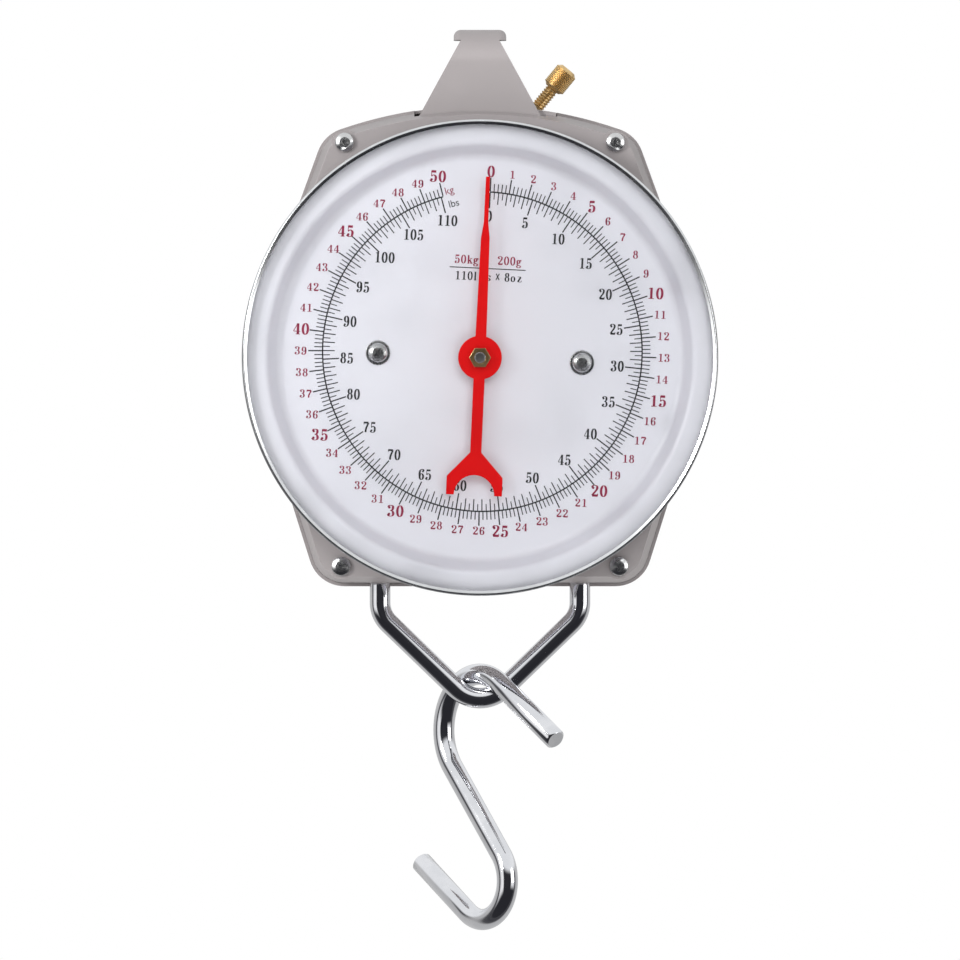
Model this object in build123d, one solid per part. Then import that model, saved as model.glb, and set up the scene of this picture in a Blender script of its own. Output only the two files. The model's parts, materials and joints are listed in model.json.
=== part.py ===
from build123d import *
from math import acos, cos, pi, radians, sin, sqrt, tan
import os

# Hanging dial spring scale, 50 kg. Millimetres, +Z up, the dial faces -Y, +X is to the right of a reader.
# Pieces are drawn about the pointer's pivot and are moved down on saving, so that the stored
# origin is the underside of the hanger's crest, where the scale hangs.

# Case: two pressed shells round a barrel-shaped outline
belly_radius = 80.0
upper_slope = 20.0
lower_slope = 17.5
top_radius = 152.0
top_height = 90.6
bottom_depth = 81.8
corner_radius = 13.0
case_front = -16.0
case_back = 26.0
case_wall = 1.2
shell_gap = 0.2
seam_front = 6.5
seam_back = 9.5
shoulder_depth = 7.0
shoulder_run = 2.2
back_fillet = 3.0
seat_radius = 4.6
top_screw_side = 8.2
top_screw_end = 5.4
bottom_screw_side = 10.2
bottom_screw_end = 7.3

# Screws, pins and small clearances
screw_radius = 1.75
head_radius = 3.45
head_height = 2.2
head_crown = 0.6
recess_length = 1.15
recess_width = 0.3
recess_depth = 0.6
pillar_radius = 2.7
pillar_tail_radius = 1.9
screw_bite = 9.0
fit_gap = 0.03
running_gap = 0.05
side_gap = 0.2
pin_head = 1.2
pin_head_extra = 1.0

# Hanger frame: one strap bent over at the top
strap_wall = 2.0
strap_gap = 20.0
crest_height = 117.6
crest_half_width = 6.9
neck_height = 113.7
hanger_taper = 0.546
neck_depth = 6.6
shoulder_height = 62.0
frame_half_width = 38.0
frame_bottom = -9.0
lip_bend_radius = 0.5
lip_drop = 1.2
lip_span = 3.8
slot_gap = 0.4
spacer_height = 34.0
spacer_inset = 4.0
spacer_wall = 1.6

# Zero adjustment: screw, bush, lever and tare spring
zero_tilt = 39.6
zero_point = (21.6, 91.2)
zero_screw_radius = 2.5
zero_tip = -23.0
zero_pad_thickness = 1.5
zero_pad_radius = 2.2
knob_start = 6.6
knob_length = 9.2
knob_radius = 4.05
knob_chamfer = 0.9
knob_spigot = 0.6
zero_bush_radius = 4.0
zero_bush_length = 7.5
zero_bush_top = -1.5
bridge_left = -19.0
bridge_right = 27.2
bridge_wall = 2.5
bridge_drop = 0.4
lever_arm = 11.9
lever_reach = 24.5
lever_wall = 3.0
lever_pivot_radius = 2.0
tare_x = -9.0
tare_coil_radius = 2.2
tare_wire_radius = 0.35
tare_coils = 30
tare_eye_radius = 2.6
tare_hole_radius = 1.3
lever_end_radius = 3.0
lever_nose_radius = 3.0
lever_nose_gap = 0.1
lever_arm_width = 3.4
lever_boss_wall = 2.0
lever_spacer_wall = 1.4

# Dial, bezel and lens
rim_radius = 85.0
bezel_wall = 0.8
bezel_lip = 1.8
rear_lip = 3.0
pan_wall = 0.8
pan_floor_radius = 72.3
pan_slope = 60.0
pan_depth = 6.8
pan_fillet = 2.0
lens_wall = 1.8
lens_gap = 0.2
gasket_wall = 1.8
dial_turn = -2.8
dial_screw_spread = 36.5
dial_screw_bite = 4.5
washer_radius = 4.4
washer_wall = 0.6
standoff_radius = 4.5
standoff_tail_radius = 3.0
shaft_hole_radius = 3.0

# Pointer and its shaft
shaft_radius = 2.0
shaft_back = 14.0
pointer_tilt = -2.55
pointer_rise = 4.4
pointer_wall = 0.8
pointer_disc_radius = 7.8
pointer_stem_half = 2.04
pointer_tip_half = 0.8
pointer_length = 64.7
pointer_neck = 0.76
pointer_neck_at = 0.66
pointer_shoulder_at = 0.75
pointer_point = 0.92
tail_stem_half = 2.0
tail_fork_start = 33.9
tail_shoulder = 42.6
tail_end = 49.2
tail_half = 10.0
tail_arch_radius = 7.2
hub_radius = 4.5
hub_length = 3.3
nut_radius = 3.9
nut_height = 2.6
shaft_front_stand = 3.0
shaft_chamfer = 0.4
bearing_radius = 4.0
bearing_flange_radius = 5.5
bearing_flange = 1.0
collar_radius = 4.0
collar_length = 2.5

# Rack and pinion: 0.6 module, 20 degree flanks
gear_module = 0.6
pinion_teeth = 14
pressure_angle = 20.0
backlash = 0.12
pinion_addendum = 0.55
pinion_dedendum = 0.65
rack_addendum = 0.45
rack_dedendum = 0.75
pinion_width = 5.0
rack_wall = 3.0
rack_back = 8.6
rack_foot_right = 11.5
rack_foot_top = -38.0
rack_guide_wall = 3.6
rack_guide_half = 8.0
rack_guide_tail_radius = 1.6

# Springs, yoke and load
travel = 25.14
spring_spread = 22.0
anchor_height = 52.0
yoke_height = -46.0
spring_wire_radius = 1.4
spring_coil_radius = 6.6
spring_pitch = 2.9
spring_coils = 26
spring_pin_radius = 2.5
yoke_half_length = 42.0
yoke_half_height = 4.0
yoke_wall = 2.0
yoke_gap = 0.2
loop_pin_radius = 2.0
rack_pin_radius = 1.5
rack_pin_x = 8.0
tare_pin_radius = 1.2
loop_radius = 3.7
loop_spread = 35.8
loop_corner = -92.0
loop_bottom = -126.5
loop_corner_bend = 10.2
loop_bottom_bend = 12.0
loop_top_stand = 5.5
bush_wall = 1.3
bush_slide_gap = 0.15
bush_flange = 1.6
bush_flange_wall = 1.5
bush_recess = 0.3
stop_x = 23.0
stop_length = 9.0
stop_width = 12.0
stop_gap = 0.5

# S-hook
hook_radius = 3.8
hook_upper_bend = 20.2
hook_lower_bend = 14.2
hook_upper_arm = 36.9
hook_diagonal = 41.0
hook_lower_arm = 31.6
hook_upper_turn = 163.7
hook_lower_turn = 165.4
hook_arm_heading = 173.6
hook_lean = 26.2
hook_swivel = 40.0
hook_gap = 0.2

# Worked-out places
front_inset = case_wall + shell_gap
plate_inner = strap_gap / 2
plate_outer = plate_inner + strap_wall
crest_centre = crest_height - plate_outer
hang_height = crest_height - strap_wall
dial_floor = case_front - pan_wall
pan_rim = dial_floor - pan_depth
pan_radius = rim_radius - bezel_wall - lens_gap
lens_back = pan_rim - gasket_wall
lens_front = lens_back - lens_wall
pointer_back = dial_floor - pointer_rise
pointer_front = pointer_back - pointer_wall
nut_front = pointer_front - nut_height
shaft_front = pointer_front - shaft_front_stand
pitch_radius = gear_module * pinion_teeth / 2
rack_pitch = pi * gear_module
yoke_inner = loop_radius + yoke_gap / 2
yoke_outer = yoke_inner + yoke_wall
floor_top = -bottom_depth + front_inset + case_wall
floor_under = -bottom_depth + front_inset
loop_top = yoke_height + loop_top_stand
zero_axis = (sin(radians(zero_tilt)), cos(radians(zero_tilt)))


# ---- helpers ----

def plate(outline, front, back):
    # solid of a front-view outline between two depths
    return extrude(Plane.XZ.offset(-back) * outline, amount=back - front)


def rod(x, z, radius, front, back):
    return plate(Pos(x, z) * Circle(radius), front, back)


def block(left, right, front, back, bottom, top):
    size = (right - left, back - front, top - bottom)
    middle = ((left + right) / 2, (front + back) / 2, (bottom + top) / 2)
    return Pos(*middle) * Box(*size)


def upright(x, y, radius, bottom, top):
    return Pos(x, y, (bottom + top) / 2) * Cylinder(radius, top - bottom)


def turned(points):
    # ring or disc about the pivot from (radius, depth) points
    return revolve(make_face(Polyline(*points, close=True)), Axis.Y)


def wire_between(start, end, radius):
    start = Vector(*start)
    span = Vector(*end) - start
    straight = extrude(Plane(origin=start, z_dir=span) * Circle(radius), amount=span.length)
    return straight + Pos(*end) * Sphere(radius)


def headed_pin(x, z, radius, front, back):
    # pin across the frame with a peened head at both ends
    pin = rod(x, z, radius, front - pin_head, back + pin_head)
    for near, far in ((front - pin_head, front), (back, back + pin_head)):
        pin += rod(x, z, radius + pin_head_extra, near, far)
    return pin


def tube(x, z, outer, inner, front, back):
    return rod(x, z, outer, front, back) - rod(x, z, inner, front, back)


def pan_screw(length):
    # cross-recess pan head screw, head upwards, seat at zero
    head = Pos(0, 0, head_height / 2) * Cylinder(head_radius, head_height)
    crown = head.edges().filter_by(GeomType.CIRCLE).sort_by(Axis.Z)[-1]
    head = fillet(crown, head_height * head_crown)
    shank = Pos(0, 0, -length / 2) * Cylinder(screw_radius, length)
    slot = Box(head_radius * recess_length, head_radius * recess_width, head_height * recess_depth * 2)
    recess = slot + Rot(0, 0, 90) * slot
    return head + shank - Pos(0, 0, head_height) * recess


def front_screw(x, z, seat, length, turn):
    return Pos(x, seat, z) * Rot(90, 0, 0) * Rot(0, 0, turn) * pan_screw(length)


def turned_spot(x, z, angle):
    turn = radians(angle)
    return (x * cos(turn) - z * sin(turn), x * sin(turn) + z * cos(turn))


def both_sides(x):
    return (-x, x)


# ---- case outline ----

def top_corner(side_inset, end_inset):
    # where the upper side line meets the top arc, both moved inwards
    slope = radians(upper_slope)
    reach = belly_radius - side_inset
    centre = top_height - top_radius
    foot = (reach * cos(slope), reach * sin(slope))
    along = -centre * cos(slope)
    square = foot[0] ** 2 + (foot[1] - centre) ** 2
    step = sqrt(along ** 2 - square + (top_radius - end_inset) ** 2) - along
    return (foot[0] - step * sin(slope), foot[1] + step * cos(slope))


def bottom_corner(side_inset, end_inset):
    # where the lower side line meets the bottom edge, both moved inwards
    slope = radians(lower_slope)
    reach = belly_radius - side_inset
    step = (bottom_depth - end_inset - reach * sin(slope)) / cos(slope)
    return (reach * cos(slope) - step * sin(slope), end_inset - bottom_depth)


def case_outline(inset):
    reach = belly_radius - inset
    top = top_corner(inset, inset)
    bottom = bottom_corner(inset, inset)
    upper = (reach * cos(radians(upper_slope)), reach * sin(radians(upper_slope)))
    lower = (reach * cos(radians(lower_slope)), -reach * sin(radians(lower_slope)))
    edges = ThreePointArc((-top[0], top[1]), (0, top_height - inset), top)
    edges += Line(top, upper)
    edges += ThreePointArc(upper, (reach, 0), lower)
    edges += Line(lower, bottom)
    edges += Line(bottom, (-bottom[0], bottom[1]))
    edges += Line((-bottom[0], bottom[1]), (-lower[0], lower[1]))
    edges += ThreePointArc((-lower[0], lower[1]), (-reach, 0), (-upper[0], upper[1]))
    edges += Line((-upper[0], upper[1]), (-top[0], top[1]))
    face = make_face(edges)
    corners = [vertex for vertex in face.vertices() if abs(vertex.Y) > belly_radius * 0.7]
    return fillet(corners, corner_radius - inset)


def corner_spots():
    top = top_corner(top_screw_side, top_screw_end)
    bottom = bottom_corner(bottom_screw_side, bottom_screw_end)
    return [(side * x, z) for x, z in (top, bottom) for side in (-1, 1)]


def dial_spots():
    return [turned_spot(x, 0, dial_turn) for x in both_sides(dial_screw_spread)]


# ---- case ----

def shouldered_block(inset, front, back, pad):
    # pressed block with sloping shoulders, flat out to the edge at the four screw seats
    outline = case_outline(inset)
    straight = plate(outline, front, back)
    face = straight.faces().sort_by(Axis.Y)[0]
    shape = chamfer(face.edges(), shoulder_run, shoulder_depth, reference=face)
    for x, z in corner_spots():
        shape += rod(x, z, pad, front, back) & straight
    return shape


def hanger_notch():
    # opening in the case's top for the frame's two plates and the bridge between them
    half = hanger_half_width(top_height - neck_depth) + slot_gap
    low = top_height - 12
    high = top_height + 5
    reach = plate_outer + slot_gap
    notch = block(-half, half, -reach, reach, low, high)
    return notch + block(bridge_left - slot_gap, bridge_right + slot_gap, -plate_inner, plate_inner, low, high)


def make_front_case():
    shell = shouldered_block(front_inset, case_front, seam_back, seat_radius)
    hollow_inset = front_inset + case_wall
    shell -= shouldered_block(hollow_inset, case_front + case_wall, seam_back + 1, seat_radius - case_wall)
    shell -= hanger_notch()
    shell -= rod(0, 0, shaft_hole_radius, case_front - 1, case_front + case_wall + 1)
    for x, z in corner_spots() + dial_spots():
        shell -= rod(x, z, screw_radius + fit_gap, case_front - 1, case_front + case_wall + 1)
    for x in both_sides(loop_spread):
        shell -= upright(x, 0, loop_radius + bush_slide_gap + bush_wall, floor_under - 1, floor_top + 1)
    return shell


def make_back_case():
    outer = plate(case_outline(0), seam_front, case_back)
    rear = outer.faces().sort_by(Axis.Y)[-1]
    outer = fillet(rear.edges(), back_fillet)
    inner = plate(case_outline(case_wall), seam_front - 1, case_back - case_wall)
    floor = inner.faces().sort_by(Axis.Y)[-1]
    inner = fillet(floor.edges(), back_fillet - case_wall)
    shell = outer - inner - hanger_notch()
    for x, z in corner_spots():
        shell -= rod(x, z, pillar_tail_radius, case_back - case_wall - 1, case_back + 1)
    return shell


def make_corner_pillars():
    pillars = []
    for x, z in corner_spots():
        pillar = rod(x, z, pillar_radius, case_front + case_wall, case_back - case_wall)
        pillar += rod(x, z, pillar_tail_radius, case_back - case_wall, case_back)
        depth = case_front + screw_bite + 1
        pillars.append(pillar - rod(x, z, screw_radius + fit_gap, case_front, depth))
    return Compound(pillars)


def make_case_screws():
    turns = (20, 65, 40, 10)
    spots = zip(corner_spots(), turns)
    return Compound([front_screw(x, z, case_front, screw_bite, turn) for (x, z), turn in spots])


# ---- hanger frame ----

def hanger_half_width(height):
    return crest_half_width + (neck_height - height) * hanger_taper


def frame_outline():
    inside = top_height - neck_depth
    half = hanger_half_width(inside)
    right = [
        (crest_half_width, crest_height),
        (crest_half_width, neck_height),
        (half, inside),
        (frame_half_width, shoulder_height),
        (frame_half_width, frame_bottom),
    ]
    left = [(-x, z) for x, z in reversed(right)]
    return make_face(Polyline(*right, *left, close=True))


def strap_section(radius):
    # side-view section of the bent strap, filled out to one radius
    straight = Pos(0, (frame_bottom + crest_centre) / 2) * Rectangle(2 * radius, crest_centre - frame_bottom)
    return straight + Pos(0, crest_centre) * Circle(radius)


def crest_lips():
    # edges of the crest, curled outwards and down
    outer = lip_bend_radius + strap_wall
    curl = (Circle(outer) - Circle(lip_bend_radius)) & Pos(outer / 2, outer / 2) * Rectangle(outer, outer)
    curl += Pos(lip_bend_radius + strap_wall / 2, -lip_drop / 2) * Rectangle(strap_wall, lip_drop)
    curl = Pos(crest_half_width, plate_inner - lip_bend_radius) * curl
    lip = revolve(Plane.XY.offset(crest_centre) * curl, Axis((0, 0, crest_centre), (1, 0, 0)), 180)
    reach = crest_half_width + outer + 1
    lip &= block(0, reach, -plate_outer, plate_outer, crest_height - lip_span, crest_height + 1)
    return lip + mirror(lip, Plane.YZ)


def make_hanger_frame():
    section = strap_section(plate_outer) - strap_section(plate_inner)
    strap = extrude(Plane.YZ * section, amount=frame_half_width + 1, both=True)
    strap &= plate(frame_outline(), -plate_outer, plate_outer)
    strap += crest_lips()
    reach = plate_outer + 1
    strap -= rod(0, 0, bearing_radius, -reach, reach)
    for x in both_sides(spring_spread):
        strap -= rod(x, anchor_height, spring_pin_radius, -reach, reach)
    for x, z in spacer_spots():
        strap -= rod(x, z, screw_radius, -reach, reach)
    for x, z in dial_spots():
        strap -= rod(x, z, standoff_tail_radius, -reach, 0)
    pivot = lever_pivot()
    strap -= rod(pivot[0], pivot[1], lever_pivot_radius, -reach, reach)
    guide_x = rack_back + side_gap + rack_guide_wall / 2
    for z in both_sides(rack_guide_half / 2):
        strap -= rod(guide_x, z, rack_guide_tail_radius, -reach, reach)
    return strap


def spacer_spots():
    x = frame_half_width - spacer_inset
    return [(-x, spacer_height), (x, spacer_height)]


def make_frame_spacers():
    return Compound([
        tube(x, z, screw_radius + spacer_wall, screw_radius + fit_gap, -plate_inner, plate_inner)
        for x, z in spacer_spots()
    ])


def make_frame_rivets():
    return Compound([headed_pin(x, z, screw_radius, -plate_outer, plate_outer) for x, z in spacer_spots()])


def make_spring_anchor_pins():
    pins = [
        headed_pin(x, anchor_height, spring_pin_radius, -plate_outer, plate_outer)
        for x in both_sides(spring_spread)
    ]
    return Compound(pins)


def make_dial_standoffs():
    posts = []
    for x, z in dial_spots():
        post = rod(x, z, standoff_radius, case_front + case_wall, -plate_outer)
        post += rod(x, z, standoff_tail_radius, -plate_outer, -plate_inner)
        posts.append(post - rod(x, z, screw_radius + fit_gap, case_front, 0))
    return Compound(posts)


# ---- zero adjustment ----

def on_zero_axis(distance):
    return (zero_point[0] + zero_axis[0] * distance, zero_point[1] + zero_axis[1] * distance)


def zero_rod(radius, start, end):
    # round bar along the zero screw's axis
    x, z = on_zero_axis(start)
    plane = Plane(origin=(x, 0, z), x_dir=(0, 1, 0), z_dir=(zero_axis[0], 0, zero_axis[1]))
    return extrude(plane * Circle(radius), amount=end - start)


def lever_contact():
    return on_zero_axis(zero_tip - zero_pad_thickness)


def lever_pivot():
    contact = lever_contact()
    return (contact[0] + zero_axis[1] * lever_arm, contact[1] - zero_axis[0] * lever_arm)


def make_zero_bridge():
    strip = case_outline(bridge_drop) - case_outline(bridge_drop + bridge_wall)
    strip = plate(strip, -plate_inner, plate_inner)
    strip &= block(bridge_left, bridge_right, -plate_inner, plate_inner, 0, top_height + 5)
    return strip - zero_rod(zero_bush_radius, zero_bush_top - 2 * zero_bush_length, 20)


def make_zero_bush():
    bush = zero_rod(zero_bush_radius, zero_bush_top - zero_bush_length, zero_bush_top)
    return bush - zero_rod(zero_screw_radius + running_gap, zero_tip, 10)


def make_zero_screw():
    stem = zero_rod(zero_screw_radius, zero_tip, knob_start)
    return stem + zero_rod(zero_screw_radius * knob_spigot, knob_start, knob_start + knob_length * knob_spigot)


def make_zero_knob():
    knob = zero_rod(knob_radius, knob_start, knob_start + knob_length)
    knob = chamfer(knob.edges().filter_by(GeomType.CIRCLE), knob_chamfer)
    return knob - zero_rod(zero_screw_radius * knob_spigot, knob_start, knob_start + knob_length * knob_spigot)


def make_zero_pad():
    return zero_rod(zero_pad_radius, zero_tip - zero_pad_thickness, zero_tip - fit_gap)


def lever_output():
    pivot = lever_pivot()
    drop = sqrt(lever_reach ** 2 - (pivot[0] - tare_x) ** 2)
    return (tare_x, pivot[1] - drop)


def make_zero_lever():
    half = lever_wall / 2
    pivot = lever_pivot()
    nose = on_zero_axis(zero_tip - zero_pad_thickness - lever_nose_gap - lever_nose_radius)
    end = lever_output()
    lever = rod(pivot[0], pivot[1], lever_pivot_radius + lever_boss_wall, -half, half)
    for spot, radius in ((nose, lever_nose_radius), (end, lever_end_radius)):
        span = Vector(spot[0] - pivot[0], spot[1] - pivot[1])
        angle = Vector(1, 0, 0).get_signed_angle(Vector(span.X, span.Y, 0), Vector(0, 0, 1))
        arm = Pos(span.length / 2, 0) * Rectangle(span.length, lever_arm_width)
        arm = Pos(*pivot) * Rot(0, 0, angle) * arm
        lever += plate(arm, -half, half)
        lever += rod(spot[0], spot[1], radius, -half, half)
    lever -= rod(pivot[0], pivot[1], lever_pivot_radius + running_gap, -plate_outer, plate_outer)
    return lever - rod(end[0], end[1], tare_hole_radius, -half, half)


def make_lever_pivot():
    pivot = lever_pivot()
    return headed_pin(pivot[0], pivot[1], lever_pivot_radius, -plate_outer, plate_outer)


def make_lever_spacers():
    x, z = lever_pivot()
    outer = lever_pivot_radius + lever_spacer_wall
    inner = lever_pivot_radius + fit_gap
    near = lever_wall / 2 + side_gap
    front = tube(x, z, outer, inner, -plate_inner, -near)
    return Compound([front, tube(x, z, outer, inner, near, plate_inner)])


# ---- dial, bezel and lens ----

def make_dial_pan():
    turn = radians(pan_slope)
    run = pan_depth / tan(turn)
    shift = pan_wall * tan(turn / 2)
    wall_top = pan_floor_radius + run
    front = [
        (shaft_hole_radius, dial_floor),
        (pan_floor_radius, dial_floor),
        (wall_top, pan_rim),
        (pan_radius, pan_rim),
    ]
    back = [
        (pan_radius, pan_rim + pan_wall),
        (wall_top + shift, pan_rim + pan_wall),
        (pan_floor_radius + shift, case_front),
        (shaft_hole_radius, case_front),
    ]
    section = make_face(Polyline(*front, *back, close=True))
    tight = (front[1], back[1])
    wide = (front[2], back[2])
    for spots, radius in ((tight, pan_fillet), (wide, pan_fillet + pan_wall)):
        for spot in spots:
            corner = section.vertices().sort_by_distance((*spot, 0))[0]
            section = fillet(corner, radius)
    pan = revolve(section, Axis.Y)
    for x, z in dial_spots():
        pan -= rod(x, z, screw_radius + fit_gap, dial_floor - 1, case_front + 1)
    return pan


def make_dial_screws():
    seat = dial_floor - washer_wall
    return Compound([front_screw(x, z, seat, dial_screw_bite + washer_wall, 35) for x, z in dial_spots()])


def make_dial_washers():
    return Compound([
        tube(x, z, washer_radius, screw_radius + fit_gap, dial_floor - washer_wall, dial_floor)
        for x, z in dial_spots()
    ])


def make_bezel_ring():
    inner = rim_radius - bezel_wall
    front = lens_front - bezel_wall
    rear = pan_rim + pan_wall
    ring = turned([
        (rim_radius - bezel_lip, front),
        (rim_radius, front),
        (rim_radius, rear + bezel_wall),
        (rim_radius - rear_lip, rear + bezel_wall),
        (rim_radius - rear_lip, rear),
        (inner, rear),
        (inner, lens_front),
        (rim_radius - bezel_lip, lens_front),
    ])
    round_edges = [edge for edge in ring.edges() if edge.length > 6.27 * rim_radius]
    return fillet(round_edges, bezel_wall * 0.9)


def make_lens():
    return rod(0, 0, pan_radius, lens_front, lens_back)


def make_lens_gasket():
    return tube(0, 0, pan_radius, rim_radius - bezel_lip + 0.1, lens_back, pan_rim)


# ---- pointer and shaft ----

def pointer_outline():
    shape = Circle(pointer_disc_radius)
    neck = pointer_stem_half * pointer_neck
    blade = [
        (pointer_stem_half, 0),
        (neck, pointer_length * pointer_neck_at),
        (pointer_tip_half, pointer_length * pointer_shoulder_at),
        (pointer_tip_half * pointer_point, pointer_length),
    ]
    mirrored = [(-x, z) for x, z in reversed(blade)]
    shape += make_face(Polyline(*blade, *mirrored, close=True))
    fork = [
        (tail_stem_half, 0),
        (tail_stem_half, -tail_fork_start),
        (tail_half, -tail_shoulder),
        (tail_half, -tail_end),
        (tail_arch_radius, -tail_end),
        (-tail_arch_radius, -tail_end),
        (-tail_half, -tail_end),
        (-tail_half, -tail_shoulder),
        (-tail_stem_half, -tail_fork_start),
        (-tail_stem_half, 0),
    ]
    shape += make_face(Polyline(*fork, close=True))
    arch = Pos(0, -tail_end) * Circle(tail_arch_radius)
    return shape - arch - Circle(shaft_radius)


def make_pointer():
    pointer = plate(Rot(0, 0, pointer_tilt) * pointer_outline(), pointer_front, pointer_back)
    return pointer


def make_pointer_hub():
    return tube(0, 0, hub_radius, shaft_radius, pointer_back, pointer_back + hub_length)


def make_pointer_nut():
    hexagon = RegularPolygon(nut_radius, 6) - Circle(shaft_radius)
    return plate(hexagon, nut_front, pointer_front)


def make_pinion_shaft():
    shaft = rod(0, 0, shaft_radius, shaft_front, shaft_back)
    return chamfer(shaft.edges().filter_by(GeomType.CIRCLE), shaft_chamfer)


def make_bearing(side):
    # flanged bush; the flange is on the outer side of its plate
    plate_near, plate_far = sorted((side * plate_inner, side * plate_outer))
    flange_near, flange_far = sorted((side * plate_outer, side * (plate_outer + bearing_flange)))
    bush = rod(0, 0, bearing_radius, plate_near, plate_far)
    bush += rod(0, 0, bearing_flange_radius, flange_near, flange_far)
    return bush - rod(0, 0, shaft_radius + running_gap, -20, 20)


def make_shaft_collars():
    far = plate_inner - side_gap
    near = far - collar_length
    front = tube(0, 0, collar_radius, shaft_radius, -far, -near)
    return Compound([front, tube(0, 0, collar_radius, shaft_radius, near, far)])


# ---- rack and pinion ----

def involute(angle):
    return tan(angle) - angle


def pinion_half_angle(radius):
    # half of a tooth's width at one radius, as an angle
    base = pitch_radius * cos(radians(pressure_angle))
    half_pitch = (rack_pitch / 2 - backlash / 2) / 2 / pitch_radius
    start = involute(radians(pressure_angle))
    return half_pitch + start - involute(acos(min(1, base / radius)))


def make_pinion_gear():
    root = pitch_radius - pinion_dedendum
    tip = pitch_radius + pinion_addendum
    steps = 6
    radii = [root + (tip - root) * step / steps for step in range(steps + 1)]
    points = []
    for tooth in range(pinion_teeth):
        middle = 2 * pi * tooth / pinion_teeth
        flank = [(radius, middle - pinion_half_angle(radius)) for radius in radii]
        flank += [(radius, middle + pinion_half_angle(radius)) for radius in reversed(radii)]
        points += [(radius * cos(angle), radius * sin(angle)) for radius, angle in flank]
    gear = make_face(Polyline(*points, close=True))
    gear = plate(gear, -pinion_width / 2, pinion_width / 2)
    gear += rod(0, 0, pitch_radius - pinion_dedendum, pinion_width / 2, pinion_width)
    return gear - rod(0, 0, shaft_radius, -pinion_width, 2 * pinion_width)


def make_rack():
    tip = pitch_radius - rack_addendum
    root = pitch_radius + rack_dedendum
    half = (rack_pitch / 2 - backlash / 2) / 2
    slope = tan(radians(pressure_angle))
    tip_half = half - rack_addendum * slope
    root_half = half + rack_dedendum * slope
    teeth = int((travel + 8) / rack_pitch)
    lowest = -2
    points = [(root, yoke_height - yoke_half_height)]
    for tooth in range(teeth):
        middle = (lowest + tooth + 0.5) * rack_pitch
        points += [
            (root, middle - root_half),
            (tip, middle - tip_half),
            (tip, middle + tip_half),
            (root, middle + root_half),
        ]
    top = (lowest + teeth) * rack_pitch + 1
    foot = yoke_height - yoke_half_height
    points += [(root, top), (rack_back, top), (rack_back, rack_foot_top)]
    points += [(rack_foot_right, rack_foot_top - 3), (rack_foot_right, foot)]
    rack = plate(make_face(Polyline(*points, close=True)), -rack_wall / 2, rack_wall / 2)
    return rack - rod(rack_pin_x, yoke_height, rack_pin_radius, -rack_wall, rack_wall)


def make_rack_guide():
    left = rack_back + side_gap
    right = left + rack_guide_wall
    half = rack_guide_half
    guide = block(left, right, -plate_inner, plate_inner, -half, half)
    for z in both_sides(half / 2):
        guide += rod((left + right) / 2, z, rack_guide_tail_radius, -plate_outer, plate_outer)
    return guide


# ---- springs ----

def coil_spring(x, top, bottom, coil_radius, wire_radius, pitch, coils, top_eye, bottom_eye, top_turn=0):
    # close-wound extension spring with an eye at both ends; the lower eye goes round a crosswise pin
    middle = (top + bottom) / 2
    height = pitch * coils
    path = Helix(pitch, height, coil_radius, center=(x, 0, middle - height / 2))
    section = Plane(origin=path @ 0, z_dir=path % 0) * Circle(wire_radius)
    spring = sweep(section, path=path, is_frenet=True)
    for end, side, eye, turn in ((top, 1, top_eye, top_turn), (bottom, -1, bottom_eye, 0)):
        coil_end = middle + side * height / 2
        eye_foot = end - side * eye
        elbow = coil_end + side * coil_radius * 0.7
        spring += Pos(x, 0, end) * Rot(0, 0, turn) * Rot(90, 0, 0) * Torus(eye, wire_radius)
        spring += wire_between((x, 0, eye_foot), (x, 0, elbow), wire_radius)
        spring += wire_between((x, 0, elbow), (x + coil_radius, 0, coil_end), wire_radius)
    return spring


def make_main_spring(side):
    eye = spring_pin_radius + spring_wire_radius + running_gap
    return coil_spring(side * spring_spread, anchor_height, yoke_height, spring_coil_radius,
                       spring_wire_radius, spring_pitch, spring_coils, eye, eye)


def make_tare_spring():
    eye = tare_pin_radius + tare_wire_radius + running_gap
    top = lever_output()[1] - tare_eye_radius
    return coil_spring(tare_x, top, yoke_height, tare_coil_radius, tare_wire_radius,
                       tare_wire_radius * 2.2, tare_coils, tare_eye_radius, eye, 90)


# ---- yoke, loop and stops ----

def yoke_pins():
    # places and radii of every pin through the two strips
    pins = [(x, loop_pin_radius) for x in both_sides(loop_spread)]
    pins += [(x, spring_pin_radius) for x in both_sides(spring_spread)]
    return pins + [(rack_pin_x, rack_pin_radius), (tare_x, tare_pin_radius)]


def make_yoke_strip(near, far):
    outline = Pos(0, yoke_height) * SlotOverall(2 * yoke_half_length, 2 * yoke_half_height)
    strip = plate(outline, near, far)
    for x, radius in yoke_pins():
        strip -= rod(x, yoke_height, radius, near - 1, far + 1)
    return strip


def make_yoke_pins(spots, radius):
    return Compound([headed_pin(x, yoke_height, radius, -yoke_outer, yoke_outer) for x in spots])


def make_rack_spacers():
    outer = rack_pin_radius + 1.5
    near = rack_wall / 2
    inner = rack_pin_radius + fit_gap
    front = tube(rack_pin_x, yoke_height, outer, inner, -yoke_inner, -near)
    return Compound([front, tube(rack_pin_x, yoke_height, outer, inner, near, yoke_inner)])


def loop_path():
    corners = [
        (-loop_spread, 0, loop_top),
        (-loop_spread, 0, loop_corner),
        (0, 0, loop_bottom),
        (loop_spread, 0, loop_corner),
        (loop_spread, 0, loop_top),
    ]
    return FilletPolyline(*corners, radius=[loop_corner_bend, loop_bottom_bend, loop_corner_bend])


def make_load_loop():
    path = loop_path()
    section = Plane(origin=path @ 0, z_dir=path % 0) * Circle(loop_radius)
    loop = sweep(section, path=path)
    for x in both_sides(loop_spread):
        loop -= rod(x, yoke_height, loop_pin_radius, -2 * loop_radius, 2 * loop_radius)
    return loop


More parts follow.
